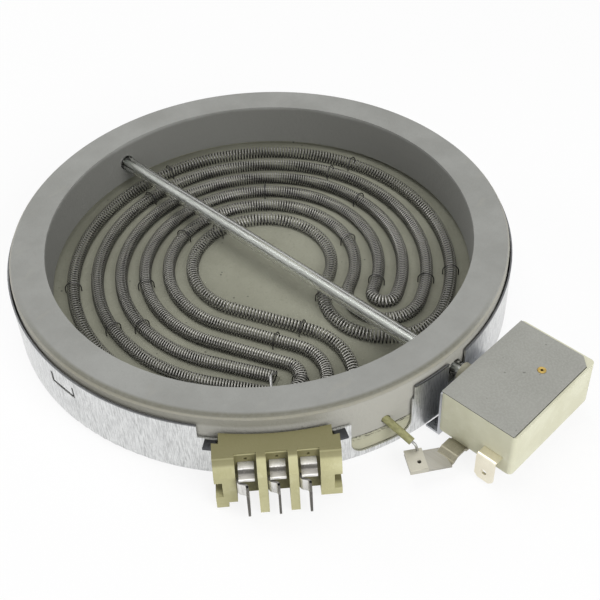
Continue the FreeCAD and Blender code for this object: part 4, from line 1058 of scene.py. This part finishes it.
@dataclass
class HeatingCoil(Assembly):
    """The winding along its route of six tracks, hooks and lower bends, in metres."""

    outside: float = 4.7 * MM
    wire: float = 0.43 * MM
    height: float = 8.8 * MM
    tracks: int = 6
    outer_track: float = 64.4 * MM
    spacing: float = 8.1 * MM
    hook_degrees: float = 22.5
    pole_radius: float = 53.6 * MM
    pole_degrees: float = -38.6
    first_bend: float = 6.4 * MM
    open_margin: float = 1.6 * MM
    last_bend_degrees: float = 24.0
    pitches: tuple[float, ...] = (0.88 * MM, 0.95 * MM, 1.14 * MM)
    runs: tuple[tuple[int, int, Optional[int]], ...] = ((2, 3, 1), (1, 4, 0), (0, 5, None))
    steps: int = 11
    sides: int = 5
    arc_step: float = 1.2 * MM
    spots: list[Vector] = field(default_factory=list)
    stages: list[int] = field(default_factory=list)

    @staticmethod
    def polar(radius: float, degrees: float) -> Vector:
        """A point of the coil's plane at an angle above +X."""
        angle = math.radians(degrees)
        return Vector((radius * math.cos(angle), radius * math.sin(angle), 0.0))

    def lean(self, along: float) -> float:
        """Angle of a tangent line's normal, for a line at that distance towards the pole."""
        return self.pole_degrees - math.degrees(math.acos(along / self.pole_radius))

    def arc(self, centre: Vector, radius: float, start: float, end: float) -> None:
        """Adds an arc to the route, in short steps.

        Args:
            centre: the arc's centre.
            radius: its radius.
            start: first angle in degrees.
            end: last angle in degrees.
        """
        count = max(6, int(abs(math.radians(end - start)) * radius / self.arc_step))
        for index in range(count + 1):
            self.spots.append(centre + self.polar(radius, start + (end - start) * index / count))

    def route(self) -> None:
        """Gathers the route's points from the free end to the end of the inner track."""
        centre = Vector((0.0, 0.0, 0.0))
        tracks = [self.outer_track - self.spacing * index for index in range(self.tracks)]
        bends = [self.first_bend + self.spacing * index for index in range(len(self.runs))]
        pole = self.polar(self.pole_radius, self.pole_degrees)
        hook = self.hook_degrees
        first = self.runs[0][0]
        leave = self.lean(tracks[first])
        touch = self.polar(tracks[first], leave)
        run = pole - touch
        self.spots.append(touch + run * (1.0 - self.open_margin / run.length))
        self.arc(centre, tracks[first], leave + 360.0, hook)
        for (outer, inner, back), bend in zip(self.runs, bends):
            middle = self.polar((tracks[outer] + tracks[inner]) / 2, hook)
            self.arc(middle, (tracks[outer] - tracks[inner]) / 2, hook, hook - 180.0)
            leave = self.lean(tracks[inner] + bend)
            self.arc(centre, tracks[inner], hook, leave + 360.0)
            if back is None:
                self.arc(pole, bend, leave + 180.0, self.last_bend_degrees)
            else:
                join = self.lean(tracks[back] - bend)
                self.arc(pole, bend, leave + 180.0, join)
                self.stages.append(len(self.spots))
                self.arc(centre, tracks[back], join + 360.0, hook)
        self.stages.append(len(self.spots))

    def straight(self) -> list[Piece]:
        """Winds the wire straight along X, in stages that are drawn out more and more.

        Returns:
            One piece for each stage.
        """
        parts = []
        begin, first = 0.0, 0
        for last, pitch in zip(self.stages, self.pitches):
            run = self.spots[max(first - 1, 0):last]
            length = sum((b - a).length for a, b in zip(run, run[1:]))
            turns = round(length / pitch)
            Bench.clear()
            bpy.ops.mesh.primitive_circle_add(vertices=self.sides, radius=self.wire / 2,
                                              location=(begin, 0.0, (self.outside - self.wire) / 2))
            part = bpy.context.object
            Bench.settle(part)
            Bench.apply(part, "SCREW", axis="X", angle=2 * math.pi, steps=self.steps,
                        render_steps=self.steps, screw_offset=length / turns, iterations=turns,
                        use_smooth_shade=True)
            parts.append(part)
            begin, first = begin + length, last
            log.info("winding: %d turns on %.3f m", turns, length)
        return parts

    def build(self) -> None:
        """Bends the straight winding along the route."""
        self.route()
        path = Bench.line("coil_route", [[(spot.x, spot.y) for spot in self.spots]], False)
        coil = Bench.join(self.straight())
        Bench.apply(coil, "CURVE", object=path, deform_axis="POS_X")
        bpy.data.curves.remove(path.data)
        coil.location = (0.0, 0.0, self.height)
        Bench.settle(coil)
        self.palette.enter(coil, "heating_winding", "resistance_wire", "winding",
                           "heating_coil", "coil_end_turns", angle=180.0)


@dataclass
class Insulation(Assembly):
    """The base, the ring and the staples in the base."""

    coats: Coats = (("base", "insulation_base"), ("ring", "insulation_ring"), ("staple", "coil_staples"))


@dataclass
class Dish(Assembly):
    """The sheet-metal dish."""

    coats: Coats = (("dish", "support_dish"),)


@dataclass
class TerminalBlock(Assembly):
    """The ceramic block with its terminals and leads, in millimetres along the block's own radius."""

    coats: Coats = (
        ("block", "connector_block"), ("terminal", "terminal_left", "terminal_middle", "terminal_right"),
        ("lead", "connector_lead", "limiter_lead"), ("sleeve", "lead_sleeve"))
    pitch: float = 8.75
    gauge: float = 0.7
    plate_width: float = 4.5
    plate_bend: float = 0.4
    plate_line: tuple[Spot, ...] = ((86.0, 15.8), (92.7, 15.8), (93.4, 14.2), (95.4, 14.2))
    wing_bend: float = 0.9
    wing_line: tuple[Spot, ...] = ((93.4, -2.3), (94.7, -2.62), (95.35, -2.1), (95.65, -1.2),
                                   (95.95, -0.4), (96.6, 0.0), (97.3, 0.0))
    wing_low: float = 8.6
    wing_high: float = 13.4
    blade: tuple[Spot, ...] = ((96.4, 13.4), (97.2, 13.4), (99.2, 11.9), (99.2, 2.8), (98.0, 1.6),
                               (95.6, 1.6), (94.4, 2.8), (94.4, 8.6), (96.4, 8.6))
    edge: float = 0.1
    edge_degrees: float = 50.0

    def terminal(self, place: int, name: str) -> None:
        """A terminal with its rounded bends: stepped plate, curled wing and push-on blade.

        Args:
            place: -1, 0 or 1 for left, middle or right.
            name: the CAD node that it takes the place of.
        """
        middle = place * self.pitch
        plate = Bench.ribbon(rounded(self.plate_line, self.plate_bend), self.plate_width, self.gauge)
        curl = rounded(self.wing_line, self.wing_bend)
        wing = Bench.ribbon(curl, self.wing_high - self.wing_low, self.gauge)
        blade = Bench.sheet([self.blade], self.gauge)
        Bench.put(plate, (0.0, middle, 0.0), 90.0)
        Bench.put(wing, (0.0, middle, (self.wing_low + self.wing_high) / 2))
        Bench.put(blade, (0.0, middle, 0.0), 90.0)
        form = Bench.put(Bench.join((plate, wing, blade)), turn=BLOCK_TURN)
        Bench.bevel(form, self.edge, self.edge_degrees)
        self.palette.enter(form, name + "_form", "tinned_terminal", "terminal", name)

    def build(self) -> None:
        """Adds the three terminals."""
        for place, side in enumerate(("left", "middle", "right"), -1):
            self.terminal(place, "terminal_" + side)


@dataclass
class Limiter(Assembly):
    """The temperature limiter: tube, rod, switch box and its metal parts, in millimetres."""

    coats: Coats = (
        ("quartz", "limiter_tube"), ("rod", "expansion_rod", "rod_end_nut", "rod_end_washer"),
        ("pin", "transfer_pin"), ("housing", "limiter_housing"), ("cover", "limiter_cover"),
        ("eyelet", "cover_eyelet"), ("bracket", "limiter_bracket"), ("tab", "limiter_tab"),
        ("strap", "limiter_strap"), ("clip", "strap_clip"),
        ("contact", "arm_post", "contact_arm", "fixed_contact_strip"),
        ("silver", "moving_contact", "fixed_contact"))
    axis_height: float = 16.8
    tube_ends: Spot = (-76.5, 90.2)
    tube_radii: Spot = (2.5, 1.8)
    rod_ends: Spot = (-80.6, 91.6)
    rod_radius: float = 1.1
    bar_sides: int = 72
    bar_edge: float = 0.15
    cover_low: Spot = (88.05, -13.35)
    cover_high: Spot = (113.25, 25.4)
    cover_corner: float = 3.0
    cover_level: Spot = (21.02, 21.3)
    cover_edge: float = 0.22
    edge_degrees: float = 60.0
    eyelet: Spot = (104.5, 12.5)
    eyelet_room: float = 1.36
    eyelet_sides: int = 32
    knee: Spot = (96.3, -20.3)
    strap_width: float = 6.0
    strap_end: Spot = (-0.9, 11.5)
    strap_half: float = 3.6
    strap_gauge: float = 0.8
    strap_level: float = 4.4
    strap_turn: float = 235.0
    joggle_bend: float = 0.9
    joggle: tuple[Spot, ...] = ((-8.0, 4.4), (-14.1, 4.4), (-15.0, 5.6), (-18.6, 5.6), (-20.2, 4.4),
                                (-21.2, 4.4))
    clip_from: float = 6.3
    clip_to: float = 11.7
    clip_half: float = 3.7
    clip_gauge: float = 0.4
    clip_low: float = 5.7
    clip_hole: Spot = (8.3, 1.1)
    clip_hole_radius: float = 0.62
    clip_hole_sides: int = 20
    clip_edge: float = 0.08
    clip_edge_degrees: float = 50.0
    flap_depth: float = 1.5

    def bar(self, radii: Sequence[float], ends: Spot) -> Piece:
        """A smooth round bar or tube along the sensor's axis.

        Args:
            radii: outer radius, and the bore's if it has one.
            ends: its ends along X.

        Returns:
            The piece.
        """
        loops = [around_hole((0.0, 0.0), radius, self.bar_sides) for radius in radii]
        bar = Bench.sheet(loops, ends[1] - ends[0])
        Bench.bevel(bar, self.bar_edge, self.edge_degrees)
        return Bench.put(bar, ((ends[0] + ends[1]) / 2, 0.0, self.axis_height), 90.0, 90.0)

    def sensor(self) -> None:
        """The clear tube and the rod in it, round enough for clean refraction."""
        tube = self.bar(self.tube_radii, self.tube_ends)
        self.palette.enter(tube, "limiter_tube_form", "quartz", "quartz", "limiter_tube")
        rod = self.bar((self.rod_radius,), self.rod_ends)
        self.palette.enter(rod, "expansion_rod_form", "rod_steel", "rod", "expansion_rod", body=ROD_BODY)

    def cover(self) -> None:
        """The cover plate, which reaches the box's edge on two sides."""
        (left, low), (right, high), cut = self.cover_low, self.cover_high, self.cover_corner
        outline = [(left, low), (right, low), (right, high - cut), (right - cut, high), (left, high)]
        hole = around_hole(self.eyelet, self.eyelet_room, self.eyelet_sides)
        bottom, top = self.cover_level
        plate = Bench.sheet([outline, hole], top - bottom)
        Bench.put(plate, (0.0, 0.0, (bottom + top) / 2))
        Bench.bevel(plate, self.cover_edge, self.edge_degrees)
        self.palette.enter(plate, "limiter_cover_form", "cover_ceramic", "cover", "limiter_cover")

    def strap(self) -> None:
        """The strap with its joggle beside the box and its flat end."""
        rise = Bench.ribbon(rounded(self.joggle, self.joggle_bend), self.strap_width, self.strap_gauge)
        Bench.put(rise, (self.knee[0], 0.0, 0.0), 90.0, 90.0)
        self.palette.enter(rise, "strap_joggle_form", "strap_steel", "joggle")
        (start, end), half = self.strap_end, self.strap_half
        flat = Bench.sheet([[(start, half), (end, half), (end, -half), (-start, -half)]], self.strap_gauge)
        Bench.put(flat, (*self.knee, self.strap_level), turn=self.strap_turn)
        self.palette.enter(flat, "limiter_strap_form", "strap_steel", "strap", "limiter_strap")

    def clip(self) -> None:
        """The clinch plate over the strap's end, with its hole and downturned edge."""
        start, end, half, depth = self.clip_from, self.clip_to, self.clip_half, self.flap_depth
        hole = around_hole(self.clip_hole, self.clip_hole_radius, self.clip_hole_sides)
        plate = Bench.sheet([[(start, -half), (end, -half), (end, half), (start, half)], hole],
                            self.clip_gauge)
        flap = Bench.sheet([[(start, 0.0), (end, 0.0), (end, -depth), (start, -depth)]], self.clip_gauge)
        skin = self.clip_gauge / 2
        Bench.put(plate, (0.0, 0.0, self.clip_low + skin))
        Bench.put(flap, (0.0, half + skin, self.clip_low + skin + skin), 90.0)
        form = Bench.put(Bench.join((plate, flap)), (*self.knee, 0.0), turn=self.strap_turn)
        Bench.bevel(form, self.clip_edge, self.clip_edge_degrees)
        self.palette.enter(form, "strap_clip_form", "strap_steel", "clip", "strap_clip")

    def build(self) -> None:
        """Adds the sensor, the cover, the strap and its clip."""
        for make in (self.sensor, self.cover, self.strap, self.clip):
            make()


@dataclass(frozen=True)
class Lamp:
    """A soft square lamp that faces the heater, in metres and watts."""

    name: str
    spot: Point
    side: float
    watts: float

    def hang(self) -> None:
        """Adds the lamp to the scene."""
        data = bpy.data.lights.new(self.name, "AREA")
        data.size = self.side
        data.energy = self.watts
        lamp = bpy.data.objects.new(self.name, data)
        bpy.context.scene.collection.objects.link(lamp)
        lamp.location = self.spot
        lamp.rotation_mode = "QUATERNION"
        lamp.rotation_quaternion = (-Vector(self.spot)).to_track_quat("-Z", "Y")


@dataclass
class Studio:
    """Camera, floor, backdrop and lights, in metres."""

    camera_spot: Point = (0.204769, -0.182638, 0.253717)
    right: Point = (0.720209, 0.693027, -0.031829)
    up: Point = (-0.463899, 0.515193, 0.720676)
    forward: Point = (-0.515845, 0.504272, -0.692541)
    lens_pixels: float = 1068.39
    image_pixels: float = 600.0
    sensor: float = 36.0
    clip: Spot = (0.01, 50.0)
    floor_size: float = 6.0
    floor_drop: float = 0.0002
    floor_colour: float = 0.9
    floor_white: float = 0.85
    surround: float = 0.36
    lamps: tuple[Lamp, ...] = (Lamp("key", (0.85, -0.12, 0.58), 0.6, 6.4),
                               Lamp("front", (0.45, -0.75, 0.20), 0.6, 0.7),
                               Lamp("top", (-0.30, 0.05, 1.0), 0.7, 3.4),
                               Lamp("left", (-0.85, -0.25, 0.24), 0.5, 3.2))

    def camera(self) -> None:
        """Makes the camera at the photograph's place."""
        data = bpy.data.cameras.new("camera")
        data.sensor_width = self.sensor
        data.lens = self.lens_pixels / self.image_pixels * self.sensor
        data.clip_start, data.clip_end = self.clip
        camera = bpy.data.objects.new("camera", data)
        bpy.context.scene.collection.objects.link(camera)
        columns = (Vector(self.right), Vector(self.up), -Vector(self.forward))
        turn = Matrix(columns).transposed().to_4x4()
        camera.matrix_world = Matrix.Translation(self.camera_spot) @ turn
        bpy.context.scene.camera = camera

    def floor(self) -> None:
        """Adds the white floor, which shows white to the camera but keeps the shadow."""
        Bench.clear()
        bpy.ops.mesh.primitive_plane_add(size=self.floor_size, location=(0.0, 0.0, -self.floor_drop))
        floor = bpy.context.object
        floor.name = "floor"
        tree = Tree("floor_paper")
        shade = tree.node("ShaderNodeBsdfDiffuse", None, {"Color": (self.floor_colour,) * 3})
        glow = tree.node("ShaderNodeEmission", None, {"Color": WHITE, "Strength": 1.0})
        both = tree.node("ShaderNodeMixShader", None, {0: tree.seen() * self.floor_white, 1: shade.out(0),
                                                       2: glow.out(0)})
        tree.node("ShaderNodeOutputMaterial", None, {"Surface": both.out(0)})
        floor.data.materials.append(tree.host)

    def world(self) -> None:
        """Sets a soft even surround that shows white to the camera."""
        tree = Tree("studio", bpy.data.worlds)
        soft, white = (tree.node("ShaderNodeBackground", None, {"Color": WHITE, "Strength": strength})
                       for strength in (self.surround, 1.0))
        both = tree.node("ShaderNodeMixShader", None, {0: tree.seen(), 1: soft.out(0), 2: white.out(0)})
        tree.node("ShaderNodeOutputWorld", None, {"Surface": both.out(0)})
        bpy.context.scene.world = tree.host

    def build(self) -> None:
        """Sets the studio up."""
        self.camera()
        self.floor()
        self.world()
        for lamp in self.lamps:
            lamp.hang()
        bpy.context.scene.view_settings.view_transform = "Standard"


def main() -> None:
    """Builds the sub-assemblies in order."""
    logging.basicConfig(level=logging.INFO, format="%(name)s: %(message)s")
    Studio().build()
    palette = Palette(Finishes())
    for kind in (HeatingCoil, Insulation, Dish, TerminalBlock, Limiter):
        kind(palette).dress()


if __name__ == "__main__":
    main()
